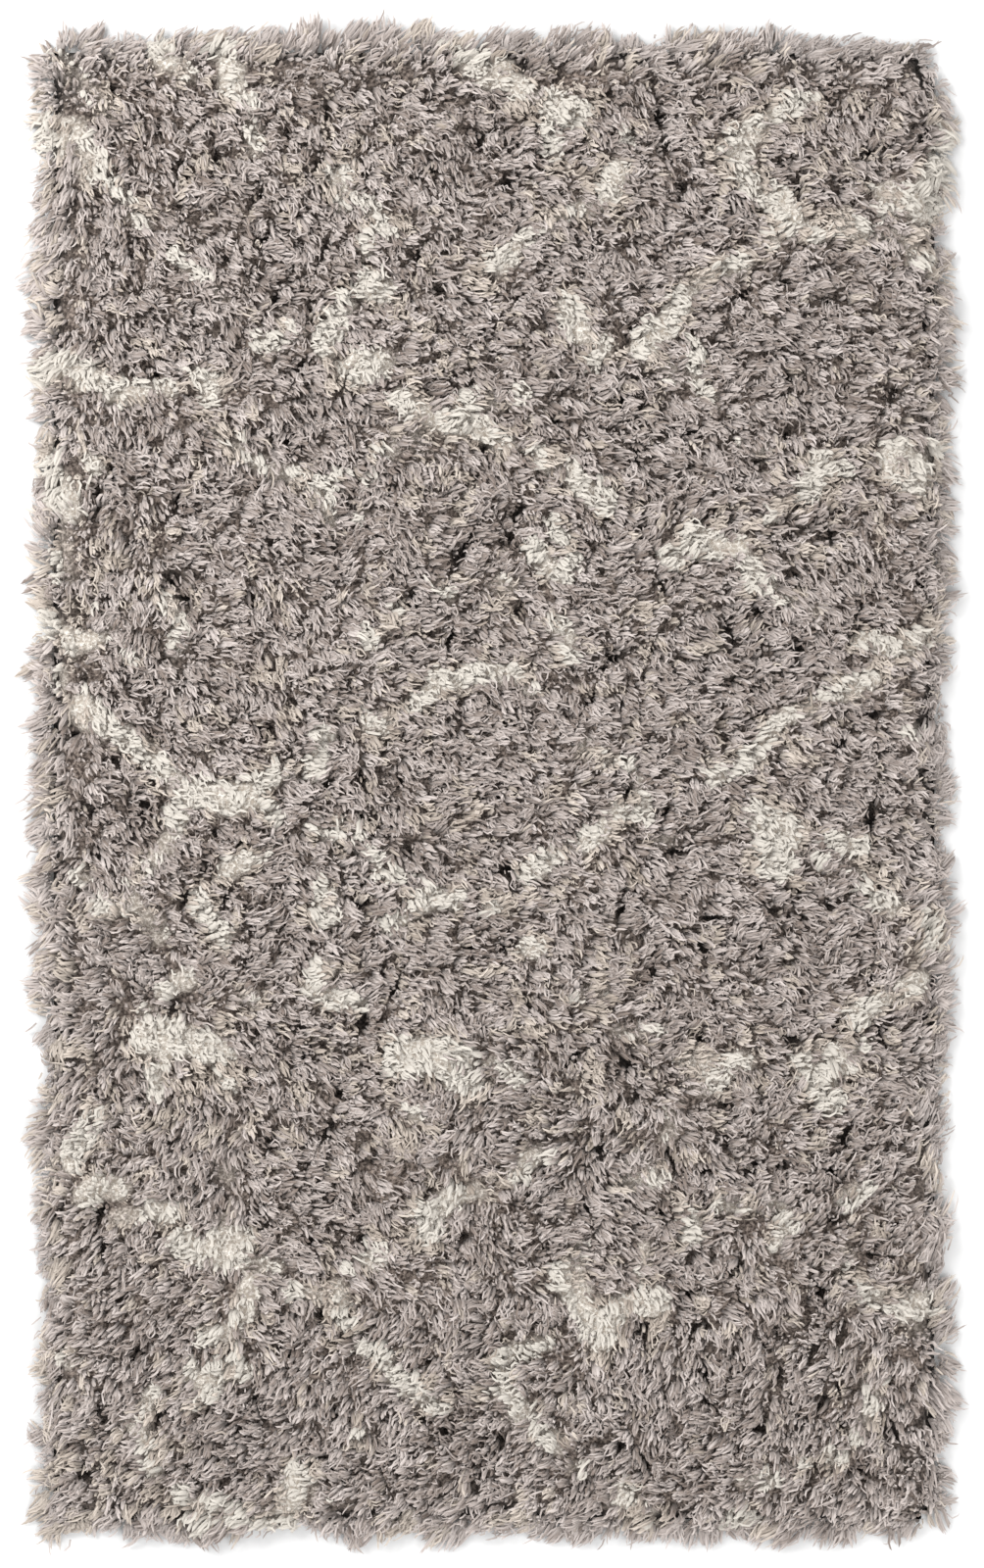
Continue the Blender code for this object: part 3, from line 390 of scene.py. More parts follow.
def drift(x, y, size, seed):
    """Smooth noise from -1 to 1 whose swells are about this size."""
    lattice = np.random.default_rng(seed).uniform(-1, 1, (64, 64))
    column, row = x / size + 31.3, y / size + 29.7
    i, j = np.floor(column).astype(int), np.floor(row).astype(int)
    s, t = column - i, row - j
    s, t = s * s * (3 - 2 * s), t * t * (3 - 2 * t)
    i, j = i % 63, j % 63
    low = lattice[i, j] * (1 - s) + lattice[i + 1, j] * s
    high = lattice[i, j + 1] * (1 - s) + lattice[i + 1, j + 1] * s
    return low * (1 - t) + high * t


def unit(way):
    """The same directions with a length of 1."""
    return way / np.maximum(np.linalg.norm(way, axis=1, keepdims=True), 1e-9)


def crown_over(place):
    """The height of the frame's solid under these places."""
    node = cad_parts["shag_rug"]
    tree = BVHTree.FromPolygons([v.co for v in node.data.vertices],
                                [p.vertices for p in node.data.polygons])
    heights = []
    for x, y in place:
        hit = tree.ray_cast(Vector((x + GROUND_MIDDLE[0], y + GROUND_MIDDLE[1], 1)), Vector((0, 0, -1)))
        heights.append(hit[0].z if hit[0] else 0)
    return np.array(heights)


def rim_reach():
    """How far the frame's solid reaches past the ground weave, along each of its sides."""
    points = np.array([vert.co[:2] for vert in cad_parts["shag_rug"].data.vertices])
    points -= GROUND_MIDDLE
    reach = {}
    for side, axis, sign in (("left", 0, -1), ("right", 0, 1), ("bottom", 1, -1), ("top", 1, 1)):
        along = np.arange(-REACH_ENDS, REACH_ENDS, REACH_STEP)
        span = [points[np.abs(points[:, 1 - axis] - a) < REACH_WINDOW, axis] * sign for a in along]
        past = [s.max() - GROUND_SIZE[axis] / 2 if len(s) else 0 for s in span]
        past = np.array(past) - STRAND_SPREAD[side]
        reach[side] = along, past + REACH_MORE * (past - past.mean())
    return reach


REACH = rim_reach()


def from_rim(place):
    """Distance in from the nearest side of the ground weave, the way out there, and the reach past it."""
    x, y = place.T
    sides = [("left", -1, 0, x + GROUND_SIZE[0] / 2, y), ("right", 1, 0, GROUND_SIZE[0] / 2 - x, y),
             ("bottom", 0, -1, y + GROUND_SIZE[1] / 2, x), ("top", 0, 1, GROUND_SIZE[1] / 2 - y, x)]
    inside = np.stack([inward for _, _, _, inward, _ in sides], 1)
    reach = np.stack([np.interp(along, *REACH[name]) for name, _, _, _, along in sides], 1)
    ways = np.array([[out_x, out_y] for _, out_x, out_y, _, _ in sides], float)
    near = np.exp(-np.maximum(inside, 0) / CORNER_TURN)
    out = unit(near @ ways + 1e-6)
    nearest = inside.min(1)
    past = (near * reach).sum(1) / near.sum(1)
    return nearest, out, past


def in_ground(place):
    """True on the ground weave, whose corners are rounded."""
    keep = np.ones(len(place), bool)
    for (side_x, side_y), radius in GROUND_CORNERS.items():
        corner = np.array([1 if side_x == "right" else -1, 1 if side_y == "top" else -1])
        past = place * corner - np.array(GROUND_SIZE) / 2 + radius
        keep &= ~((past > 0).all(1) & (np.hypot(*past.T) > radius))
    return keep


def across_parting(place, parting):
    """How far across a parting these places are, its half-width there, and the way across it."""
    shape = place.shape
    x, y = place.reshape(-1, 2).T
    crook = np.stack([drift(x, y, CROOK_SIZE, 41), drift(x, y, CROOK_SIZE, 42)], 1)
    place = place + crook.reshape(shape) * CROOK_DEPTH
    turn = math.radians(parting.heading + PARTING_TURN * math.sin(parting.x * 7 + parting.y * 3))
    along = np.array([math.cos(turn), math.sin(turn)])
    across = np.array([-along[1], along[0]])
    place = place - np.array([parting.x, parting.y]) / PER_METRE
    v = place @ along / (PARTING_TAPER * parting.length / (2 * PER_METRE))
    return place @ across, parting.width / (2 * PER_METRE) * np.exp(-v * v), across


def openness(place):
    """How far the pile is open over these places, from 0 to 1."""
    most = np.zeros(len(place))
    for parting in PARTINGS:
        u, bank, _ = across_parting(place, parting)
        share_of_width = np.clip(bank * 2 * PER_METRE / parting.width, 0, 1)
        most = np.maximum(most, np.exp(-(u / (bank + 1e-4)) ** 2) * share_of_width)
    return most


def streak_share(place):
    """How much of the yarn at these places is cream, and how much of it belongs to a streak's border."""
    x, y = place.T
    warp = np.stack([drift(x, y, 0.017, 11), drift(x, y, 0.017, 12)], 1) * 0.003
    spot = (place + warp) * PER_METRE
    cream = np.zeros(len(place))
    border = np.zeros(len(place))
    for streak in STREAKS:
        for start, end in zip(streak.run, streak.run[1:]):
            start, step = np.array(start, float), np.subtract(end, start)
            along = np.clip((spot - start) @ step / (step @ step), 0, 1)
            gap = np.linalg.norm(spot - start - along[:, None] * step, axis=1) / (streak.width / 2)
            inside = np.clip((STREAK_EDGE - gap) / STREAK_FADE, 0, 1)
            cream = np.maximum(cream, streak.share * inside)
            border = np.maximum(border, streak.share * np.clip(BORDER_EDGE - gap, 0, 1))
    return cream, border


def matted_yarn_painted_shade():
    """Acrylic and wool yarn, matted, with lint in it: dull and rough, paler where it is cream, and
    with painted shade, far darker than the yarn's own colour and darker still the deeper it lies
    between the tufts."""
    material, tree, shader = new_material("matted_yarn_painted_shade")
    place = add_node(tree, "ShaderNodeTexCoord").outputs["Object"]
    lint = add_node(tree, "ShaderNodeTexNoise", {"Vector": place, "Scale": 1 / LINT_SIZE, "Detail": 4})
    lint = add_node(tree, "ShaderNodeMapRange", {0: lint.outputs["Fac"], 1: 0.38, 2: 0.62}).outputs[0]
    cream = add_node(tree, "ShaderNodeAttribute", attribute_name="cream").outputs["Fac"]
    # Its grey is painted far darker than the yarn's own colour, as shade deep in the pile, and flecked by
    # lint.
    grey = add_node(
        tree, "ShaderNodeMix", {0: lint, 6: linear("#3A2F28"), 7: linear("#9C8D83")}, data_type="RGBA")
    pale = add_node(
        tree, "ShaderNodeMix", {0: lint, 6: linear("#A89D90"), 7: linear("#E8E1D7")}, data_type="RGBA")
    colour = add_node(
        tree, "ShaderNodeMix", {0: cream, 6: grey.outputs[2], 7: pale.outputs[2]}, data_type="RGBA")
    level = add_node(tree, "ShaderNodeSeparateXYZ", {0: place}).outputs["Z"]
    # Painted shade: light fades from 28 mm above the floor down to 8 mm, less so between pale strands.
    shade = add_node(tree, "ShaderNodeMapRange", {0: level, 1: 0.008, 2: 0.028, 3: 0.18, 4: 0.85})
    shade = add_node(
        tree, "ShaderNodeMapRange", {0: cream, 1: 0.0, 2: 1.0, 3: shade.outputs[0], 4: 0.9})
    colour = add_node(
        tree, "ShaderNodeMix", {0: 1.0, 6: colour.outputs[2], 7: shade.outputs[0]},
        data_type="RGBA", blend_type="MULTIPLY")
    bump = add_node(tree, "ShaderNodeBump", {"Height": lint, "Strength": 0.8, "Distance": 0.002})
    tree.links.new(colour.outputs[2], shader.inputs["Base Color"])
    tree.links.new(bump.outputs["Normal"], shader.inputs["Normal"])
    shader.inputs["Roughness"].default_value = 0.95
    return material


def packed_roots():
    """The dense lower half of the pile, as one low mound over the ground weave."""
    columns, rows = MOUND_GRID
    x = np.linspace(-0.5, 0.5, columns) * (GROUND_SIZE[0] + MOUND_MARGIN)
    y = np.linspace(-0.5, 0.5, rows) * (GROUND_SIZE[1] + MOUND_MARGIN)
    place = np.stack(np.meshgrid(x, y), 2).reshape(-1, 2)
    inward, _, _ = from_rim(place)
    depth = np.random.default_rng(5).uniform(*MOUND_DEPTH, len(place)) + MOUND_PARTED * openness(place)
    cream, _ = streak_share(place)
    height = np.maximum(crown_over(place) - depth + MOUND_CREAM * cream, MOUND_LEAST)
    height = GROUND_THICK + (height - GROUND_THICK) * np.clip((inward + 0.001) / MOUND_EDGE, 0, 1)
    bm = bmesh.new()
    verts = [bm.verts.new((px + GROUND_MIDDLE[0], py + GROUND_MIDDLE[1], z))
             for (px, py), z in zip(place, height)]
    for i in range(columns - 1):
        for j in range(rows - 1):
            k = j * columns + i
            bm.faces.new([verts[k], verts[k + 1], verts[k + columns + 1], verts[k + columns]])
    outside = [vert for vert, kept in zip(verts, in_ground(place * MOUND_CORNERS)) if not kept]
    bmesh.ops.delete(bm, geom=outside, context="VERTS")
    rim = [edge for edge in bm.edges if edge.is_boundary]
    for vert in {vert for edge in rim for vert in edge.verts}:
        vert.co.z = GROUND_THICK
    bmesh.ops.holes_fill(bm, edges=rim, sides=0)
    bmesh.ops.recalc_face_normals(bm, faces=bm.faces)
    mesh = bpy.data.meshes.new("packed_roots")
    bm.to_mesh(mesh)
    bm.free()
    mesh.shade_smooth()
    place = np.array([vert.co[:2] for vert in mesh.vertices]) - GROUND_MIDDLE
    cream, _ = streak_share(place)
    mesh.attributes.new("cream", "FLOAT", "POINT").data.foreach_set("value", cream)
    mesh.materials.append(matted_yarn_painted_shade())
    mound = bpy.data.objects.new("packed_roots", mesh)
    bpy.context.scene.collection.objects.link(mound)
    return mound


mound = packed_roots()
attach(mound, "root")
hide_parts("shag_rug")


# ---------------------------------------------------------------------------
# Pile. Tufts of soft acrylic and wool yarn, cut about 38 mm long, are stitched
# through the ground weave about 12 mm apart. Their ends have opened out into
# strands, which lean on one another the way the rug was combed and rolled.
# ---------------------------------------------------------------------------

TUFT_PITCH = 0.0124
TUFT_STRAY = 0.0024  # how far a tuft stands from its place in the rows
ROOT_INSET = 0.003  # of the outermost roots from the edge of the weave
TUFT_HALF = 0.0058  # from a tuft's middle to its outer strands
TUFT_ROUND = 0.0040  # how much lower the outer strands lie than the middle one
TUFT_BOW = 0.0028  # how far a tuft bends to one side on the way to its tip
UPRIGHT_OPEN = 0.0035  # how much further the strands of an upright tuft open out
LEAN = 0.018  # how far a tuft's tip lies from its root, seen from above
LEANS = (0.7, 1.25)  # shares of that, from the least to the most
HEADING_STRAY = 0.42  # of one tuft from the way that the pile leans there, in radians
CLUMP_PITCH = 0.031  # between the middles of clumps, whose tufts lean together
CLUMP_PULL = 0.42  # share of the way that a tip at the rim moves to its clump's middle
CLUMP_EASE = 0.24  # by how much that is less inside the rim
CLUMP_RISE = 0.0055  # how much higher or lower a tuft stands in the middle of one or between them
PILE_CROWN = 0.0375
FRAME_CROWN = 0.034  # height of the frame's solid on average, without its lumps
LUMPS = (-0.007, 0.009)  # the furthest that the pile follows those
CROWN_STRAY = 0.0020  # from one tuft to the next
PARTED_DEPTH = 0.018  # how much lower the tips lie in a parting
FIELD_EDGE = 0.03  # width of the rim, over which its own rules fade out
SHOULDER = 0.046  # width, in from the tips, over which the crown comes down to the floor
THIN_RIM = 0.05  # width, in from the tips, over which the pile is thin: it arches higher there and is painted paler, as light let through from the floor
RIM_TUFTS = 700  # of the outermost row, which falls outwards
RIM_FALL = 0.034  # width of the rim where more and more tufts fall outwards
FALL_STRAY = 0.35  # by how much one falls more or less than the next
CORNER_STAND = 1.5  # times 0.5, by how much less they fall inside a corner
RIM_SHOW = 0.009  # how much further than the frame's solid a fallen tuft may reach
RIM_UNEVEN = 0.005  # and by how much that varies along the rim
CORNER_SHOW = 0.044  # added at a corner, where half of it counts
FURTHEST = (0.75, 1.03)  # shares of its reach that the lower half of the outermost row comes to
NEARER = (0.25, 0.95)  # and the other fallen tufts
MOST_REACH = 0.037  # of a tuft that lies flat, from its root
SWAY_STRAY = 0.009  # how far one falls to the left or right of straight out
SWAY_DRIFT = 0.012  # and how far whole groups do
ARCH = 0.012  # height to which a fallen tuft arches over
ARCH_DRIFT = 0.011  # and by how much whole groups arch more or less
LEAST_HEIGHT = 0.0002  # of a point of the yarn above the floor
TUFT_SHADES = 0.17  # how much one tuft's shade strays from the next
STRAND_SHADES = 0.16  # and one strand's
STRAND_GIRTHS = (0.75, 1.3)  # the thinnest and thickest, against those below
PIECES = 5  # joined meshes that the pile is made in, from bottom to top
GREY, BEIGE, CREAM = range(3)
CREAM_MOST = 0.92  # of the yarn in the fullest streak
CREAM_LOFT = 1.35  # its strands' thickness against the others'
BEIGE_SHARE = 0.10  # of the yarn outside the streaks and their borders
BEIGE_DRIFT = 0.10  # and by how much that varies
BEIGE_LEFT = 0.16  # added at the left side, over LEFT_MARGIN
LEFT_MARGIN = 0.05
BEIGE_RIM = 0.05  # added all round, over RIM_MARGIN
RIM_MARGIN = 0.04
BEIGE_BORDER = 0.6  # of the yarn round the fullest streak
rng = np.random.default_rng(2024)

# The strands of a cut tuft: soft locks that lie side by side and make its rounded back, loose wisps
# that curl over them, and short yarn round its root. Stations are the shares of the tuft's length
# that a strand passes through, from where it shows to its tip, and girths its width at each but the
# tip, as a share of twice half. The profile is its section: a lock is a soft ridge, a wisp a band.
# Across, along and rise say how far its tip strays, curl how far it bends on the way, and glint how
# much paler it is painted, as painted light on thin ends; below zero it is painted shade.
Strand = namedtuple(
    "Strand", "places stations girths profile half high gather lift across along rise curl glint")
RIDGE = ((-1, -0.4), (0, 1), (1, -0.4))
BAND = ((-1, 0), (1, 0))
LOCKS = Strand(places=(-0.85, -0.28, 0.28, 0.85), stations=(0.34, 0.62, 0.90, 1.0),
               girths=(0.8, 1.0, 0.8), profile=RIDGE, half=0.0017, high=0.0010, gather=0.6,
               lift=0, across=0.0022, along=0.0034, rise=0.0010, curl=0.0014, glint=-0.06)
WISPS = Strand(places=(-1.1, -0.75, -0.4, 0, 0.4, 0.75, 1.1), stations=(0.56, 0.76, 0.92, 1.0),
               girths=(1.0, 1.1, 0.9), profile=BAND, half=0.00078, high=0, gather=0.6,
               lift=0.0016, across=0.0050, along=0.0056, rise=0.0018, curl=0.0026, glint=0.02)
SHORT = Strand(places=(0,), stations=(0.3, 0.8, 1.0),
               girths=(1.0, 0.9), profile=RIDGE, half=0.0022, high=0.0016, gather=0,
               lift=0, across=0, along=0, rise=0, curl=0, glint=0)

# The way the pile leans: a place on the rug in centimetres from the middle of the weave, the heading
# in degrees anticlockwise from the right, and how strictly the tufts keep to it. The headings follow
# the strands' directions as a script measured them in the photograph, in boxes about 12 cm wide, and
# were then thinned out, rounded and adjusted.
Combed = namedtuple("Combed", "x y heading hold")
COMBING = [
    Combed(-42, 72, -42, 0.8), Combed(-18, 72, -42, 0.9), Combed(6, 72, -38, 0.9),
    Combed(30, 72, -18, 0.8), Combed(44, 71, -36, 0.8),
    Combed(-42, 50, -46, 0.7), Combed(-18, 50, -36, 0.9), Combed(6, 50, -28, 0.9),
    Combed(30, 50, -18, 0.8), Combed(44, 48, -28, 0.8),
    Combed(-42, 27, -30, 0.4), Combed(-18, 27, -28, 0.8), Combed(6, 27, -16, 0.8),
    Combed(30, 27, -15, 0.7), Combed(44, 30, -34, 0.8),
    Combed(-42, 5, -30, 0.7), Combed(-18, 5, -24, 0.9), Combed(6, 5, -9, 0.8),
    Combed(30, 5, -8, 0.8), Combed(44, 5, -8, 0.6),
    Combed(-42, -20, -155, 0.4), Combed(-24, -18, -14, 0.8), Combed(6, -18, -2, 0.7),
    Combed(26, -18, -8, 0.7), Combed(43, -20, 15, 0.5),
    Combed(-42, -36, -176, 0.3), Combed(-18, -36, -18, 0.7), Combed(6, -37, 205, 0.5),
    Combed(26, -36, 15, 0.4), Combed(43, -36, 38, 0.5),
    Combed(-42, -49, 226, 0.7), Combed(-18, -50, -8, 0.6), Combed(6, -48, -8, 0.5),
    Combed(28, -48, -4, 0.5), Combed(43, -49, 32, 0.6),
    Combed(-42, -61, 228, 0.6), Combed(-14, -61, 206, 0.7), Combed(8, -60, 190, 0.4),
    Combed(28, -61, 220, 0.6), Combed(43, -60, 234, 0.6),
    Combed(-42, -73, 222, 0.8), Combed(-24, -73, 196, 0.9), Combed(-4, -73, 200, 0.9),
    Combed(16, -73, 200, 0.8), Combed(32, -73, 216, 0.8), Combed(43, -73, 235, 0.8),
]
COMB_REACH = 6  # centimetres over which the rows round a place blend
COMB_SIZE = 0.045  # of the swirls that stray from them
COMB_STRAY = 0.55


def turned(way, angle):
    """Directions seen from above, turned anticlockwise."""
    c, s = np.cos(angle), np.sin(angle)
    return np.stack([way[:, 0] * c - way[:, 1] * s, way[:, 0] * s + way[:, 1] * c], 1)


def combed_way(place):
    """The lean of the pile at these places, from the rows round them."""
    rows = np.array(COMBING, float)
    headings = np.radians(rows[:, 2])
    pulls = np.stack([np.cos(headings), np.sin(headings)], 1) * rows[:, 3:]
    gaps = np.linalg.norm(place[:, None] * PER_METRE - rows[None, :, :2], axis=2)
    weights = 1 / (gaps**2 + COMB_REACH**2) ** 2
    way = weights @ pulls / weights.sum(1, keepdims=True)
    x, y = place.T
    stray = np.stack([drift(x, y, COMB_SIZE, 1), drift(x, y, COMB_SIZE, 2)], 1) * COMB_STRAY
    return unit(way + stray)


def tuft_roots():
    """Where the tufts are stitched: offset rows over the whole weave, and one more row at its rim."""
    half_x, half_y = GROUND_SIZE[0] / 2 - ROOT_INSET, GROUND_SIZE[1] / 2 - ROOT_INSET
    rows = np.arange(-half_y, half_y, TUFT_PITCH * math.sqrt(3) / 2)
    field = []
    for i, y in enumerate(rows):
        x = np.arange(-half_x + TUFT_PITCH / 2 * (i % 2), half_x, TUFT_PITCH)
        field.append(np.stack([x, np.full_like(x, y)], 1))
    field = np.concatenate(field)
    field += rng.normal(0, TUFT_STRAY, field.shape)
    field = np.clip(field, (-half_x, -half_y), (half_x, half_y))
    walk = (np.arange(RIM_TUFTS) + rng.uniform(0, 1, RIM_TUFTS)) / RIM_TUFTS * 4 * (half_x + half_y)
    lengths = [2 * half_x, 2 * half_y, 2 * half_x, 2 * half_y]
    starts = np.cumsum([0] + lengths)
    corners = [(-half_x, -half_y), (half_x, -half_y), (half_x, half_y), (-half_x, half_y)]
    headings = [(1, 0), (0, 1), (-1, 0), (0, -1)]
    side = np.clip(np.searchsorted(starts, walk, side="right") - 1, 0, 3)
    rim = np.array(corners)[side] + np.array(headings)[side] * (walk - starts[side])[:, None]
    roots = np.concatenate([field, rim])
    is_rim = np.arange(len(roots)) >= len(field)
    keep = in_ground(roots)
    return roots[keep], is_rim[keep]


def shoulder(inside):
    """The crown's height as a share of the full one, by the distance in from the tips of the rim."""
    return np.sqrt(1 - (1 - np.clip(inside / SHOULDER, 0, 1)) ** 2)


def nearest_spot(place, pitch, seed):
    """The nearest of the spots strewn this far apart: its place, and how far off it is."""
    cell = np.floor(place / pitch).astype(int)
    best = np.full(len(place), 9.0)
    spot = np.zeros_like(place)
    stray = np.random.default_rng(seed).uniform(0.1, 0.9, (96, 96, 2))
    for i in (-1, 0, 1):
        for j in (-1, 0, 1):
            near = cell + (i, j)
            here = (near + stray[near[:, 0] % 96, near[:, 1] % 96]) * pitch
            gap = np.linalg.norm(place - here, axis=1)
            closer = gap < best
            best[closer] = gap[closer]
            spot[closer] = here[closer]
    return spot, best


def part_strands(lines):
    """Strands turned away from each parting, to the side of it that their upper part lies on."""
    for parting in PARTINGS:
        middle = np.array([parting.x, parting.y]) / PER_METRE
        around = parting.length / (2 * PER_METRE) + 0.025
        near = np.nonzero(np.abs(lines[:, 1, :2] - middle).max(1) < around)[0]
        u, bank, across = across_parting(lines[near, :, :2], parting)
        bank = bank * rng.uniform(0.0, 0.85, (len(near), 1))  # some strands stay and half cover it
        side = np.where(u.mean(1) < 0, -1, 1)[:, None]
        clear = side * (side * u + np.sqrt(u * u + 4 * bank * bank)) / 2
        lines[near, :, :2] += (clear - u)[:, :, None] * across


def laid_tufts():
    """Each tuft's root, its tip and the height there, its way, how far it lies from its neighbours'
    middle, how sunk it is, and how thin the pile is there."""
    roots, is_rim = tuft_roots()
    count = len(roots)
    x, y = roots.T
    inward, out, past = from_rim(roots)
    field = np.clip(inward / FIELD_EDGE, 0, 1)
    way = turned(combed_way(roots), rng.normal(0, HEADING_STRAY, count))
    lean = way * (LEAN * rng.uniform(*LEANS, count))[:, None]

    # Tufts near the rim fall outwards. At a corner only the outermost ones fan out.
    most_fall = 1 + FALL_STRAY
    fall = most_fall - most_fall * inward / RIM_FALL + rng.uniform(-FALL_STRAY, FALL_STRAY, count)
    cornered = np.abs(out[:, 0] * out[:, 1])  # 0.5 at a corner, 0 away from it
    fall = np.where(is_rim, 1, np.clip(fall, 0, 1) * (1 - CORNER_STAND * cornered))
    past = past + RIM_SHOW + RIM_UNEVEN * drift(x, y, 0.022, 61) + CORNER_SHOW * cornered
    # Half of the outermost row reaches all the way, and the rest lies over it like tiles.
    furthest = is_rim & (rng.uniform(0, 1, count) < 0.5)
    share = np.where(furthest, rng.uniform(*FURTHEST, count), rng.uniform(*NEARER, count))
    overhang = past * np.clip(1 - inward / RIM_FALL, 0, 1) * share
    reach_out = np.minimum(0.6 * inward + overhang, MOST_REACH)
    sidelong = turned(out, math.pi / 2)
    sway = (lean * sidelong).sum(1) + rng.normal(0, SWAY_STRAY, count)
    sway += SWAY_DRIFT * drift(x, y, 0.03, 62)
    fallen = out * reach_out[:, None] + sidelong * sway[:, None]
    tips = roots + lean * (1 - fall[:, None]) + fallen * fall[:, None]

    # Tips gather in clumps, whose middles stand higher.
    middle, off = nearest_spot(tips, CLUMP_PITCH, 31)
    off /= CLUMP_PITCH
    tips += (middle - tips) * ((CLUMP_PULL - CLUMP_EASE * field) * rng.uniform(0.4, 1.2, count))[:, None]
    tip_inward, _, tip_past = from_rim(tips)
    crown = PILE_CROWN + np.clip(crown_over(roots) - FRAME_CROWN, *LUMPS) * field
    crown += field * (CLUMP_RISE * (0.45 - off) * 2 + rng.normal(0, CROWN_STRAY, count))
    height = np.maximum(crown * shoulder(tip_inward + tip_past), 0.003)
    low_layer = rng.uniform(0.15, 0.9, count)
    layer = np.where(furthest, low_layer, 1 - 0.4 * rng.uniform(0, 1, count) * (1 - field))
    sunk = openness(tips)
    height = np.maximum(height * layer - PARTED_DEPTH * sunk, 0.002)
    thin = np.clip(1 - (tip_inward + tip_past) / THIN_RIM, 0, 1)
    return roots, tips, height, unit(tips - roots), off, sunk, thin


def bent(start, control, end, share):
    """A place along a tuft or strand that rises from its root and bends over to its tip."""
    return start * (1 - share) ** 2 + control * 2 * share * (1 - share) + end * share**2


def yarn_of(place, lot):
    """The dye of each strand, by the place that it shows at and what its tuft drew in the lots."""
    cream, border = streak_share(place)
    x, y = place.T
    # Neighbours draw like lots, so a thin streak breaks up into whole tufts and not into specks.
    lot = lot + 1.2 * np.stack([drift(x, y, 0.018, 71), drift(x, y, 0.015, 72)], 1)
    lot = lot.argsort(0).argsort(0) / len(lot)
    warm = BEIGE_SHARE + BEIGE_DRIFT * drift(x, y, 0.12, 21)
    nearest, _, _ = from_rim(place)
    warm += BEIGE_LEFT * np.clip(1 - (x + GROUND_SIZE[0] / 2) / LEFT_MARGIN, 0, 1)
    warm += BEIGE_RIM * np.clip(1 - nearest / RIM_MARGIN, 0, 1)
    beige = np.clip(np.maximum(warm, BEIGE_BORDER * border), 0, 1)
    return np.where(lot[:, 0] < CREAM_MOST * cream, CREAM, np.where(lot[:, 1] < beige, BEIGE, GREY))


Group = namedtuple("Group", "kind lines girth dyes tones")


def pile_strands():
    """The strands of every tuft, a group for each kind."""
    roots, tips, height, way, off, sunk, thin = laid_tufts()
    count = len(roots)
    side = np.stack([-way[:, 1], way[:, 0]], 1)
    root = np.column_stack([roots, np.full(count, 0.0015)])
    tip = np.column_stack([tips, height * 0.93])
    bow = rng.normal(0, TUFT_BOW, count)
    knee = np.column_stack([roots + (tips - roots) * 0.30 + side * bow[:, None], height * 1.10])
    arch = ARCH + ARCH_DRIFT * drift(*roots.T, 0.011, 63)
    knee[:, 2] = np.maximum(knee[:, 2], 0.010 + arch * thin)
    # Painted shade and light: tufts sunk in a parting or lying low between clumps are darker,
    # and thin pile at the rim is paler, as painted light of the floor coming through.
    tone = 0.5 + rng.normal(0, TUFT_SHADES, count) - 0.10 * (off - 0.45) - 0.4 * sunk + 0.25 * thin
    tone = np.clip(tone, 0, 1)
    lean = np.linalg.norm(tips - roots, axis=1)
    upright = np.clip(1.2 - lean / LEAN, 0, 1) * UPRIGHT_OPEN
    made = {}
    for kind in (LOCKS, WISPS):
        strands = made[kind] = []
        for place in kind.places:
            spread = rng.normal(0, 1, (count, 3))
            across = place * (TUFT_HALF + upright * 0.5) + spread[:, 0] * (kind.across + upright)
            off_middle = np.minimum((across / TUFT_HALF) ** 2, 2)
            along = spread[:, 1] * (kind.along + upright) - off_middle * 0.0030
            rise = spread[:, 2] * kind.rise - off_middle * TUFT_ROUND
            rise = np.where(height > 0.012, rise, rise * 0.3) + kind.lift
            across = side * across[:, None]
            along = way * along[:, None]
            end = tip + np.column_stack([across + along, rise])
            middle = knee + np.column_stack([across * 0.85 + along * 0.25, rise * 0.8])
            start = root + np.column_stack([across * kind.gather, rise * 0.3])
            line = np.stack([bent(start, middle, end, share) for share in kind.stations], 1)
            passed = (np.array(kind.stations) - kind.stations[0]) / (1 - kind.stations[0])
            arc = np.outer(rng.normal(0, kind.curl, count), 4 * passed * (1 - passed))
            line[:, :, :2] += side[:, None] * arc[..., None]
            girth = rng.uniform(*STRAND_GIRTHS, count)
            shade = tone + kind.glint + rng.normal(0, STRAND_SHADES, count)
            strands.append((line, girth, np.clip(shade, 0, 1)))
    # Short yarn stands between the tufts' roots and leans any way.
    short_way = turned(way, rng.normal(0, 0.9, count)) * rng.uniform(0.006, 0.012, count)[:, None]
    foot = roots + rng.uniform(-0.006, 0.006, (count, 2)) - short_way * 0.4
    levels = height[:, None] * (0.34, 0.70, 0.66) + rng.normal(0, 0.0015, (count, 1))
    steps = foot[:, None] + short_way[:, None] * np.array([0, 0.7, 1.0])[:, None]
    # Short yarn is painted a little darker, as shade low in the pile.
    made[SHORT] = [(np.concatenate([steps, levels[:, :, None]], 2), np.ones(count), tone * 0.9)]
    tuft_lot = rng.uniform(-0.25, 0.25, (count, 2))
    groups = []
    for kind, strands in made.items():
        lines, girth, tones = (np.concatenate(each) for each in zip(*strands))
        part_strands(lines)
        lines[:, :, 2] = np.maximum(lines[:, :, 2], 0.0012)
        lot = np.tile(tuft_lot, (len(strands), 1))
        lot += rng.uniform(-0.12, 0.12, lot.shape)
        dyes = yarn_of(lines[:, -2:, :2].mean(1), lot)
        girth *= np.where(dyes == CREAM, CREAM_LOFT, 1.0)
        tones = np.where(dyes == CREAM, 0.35 + 0.4 * tones, tones)  # cream yarn is evener in tone, with less painted shade
        groups.append(Group(kind, lines, girth, dyes, tones))
    return groups


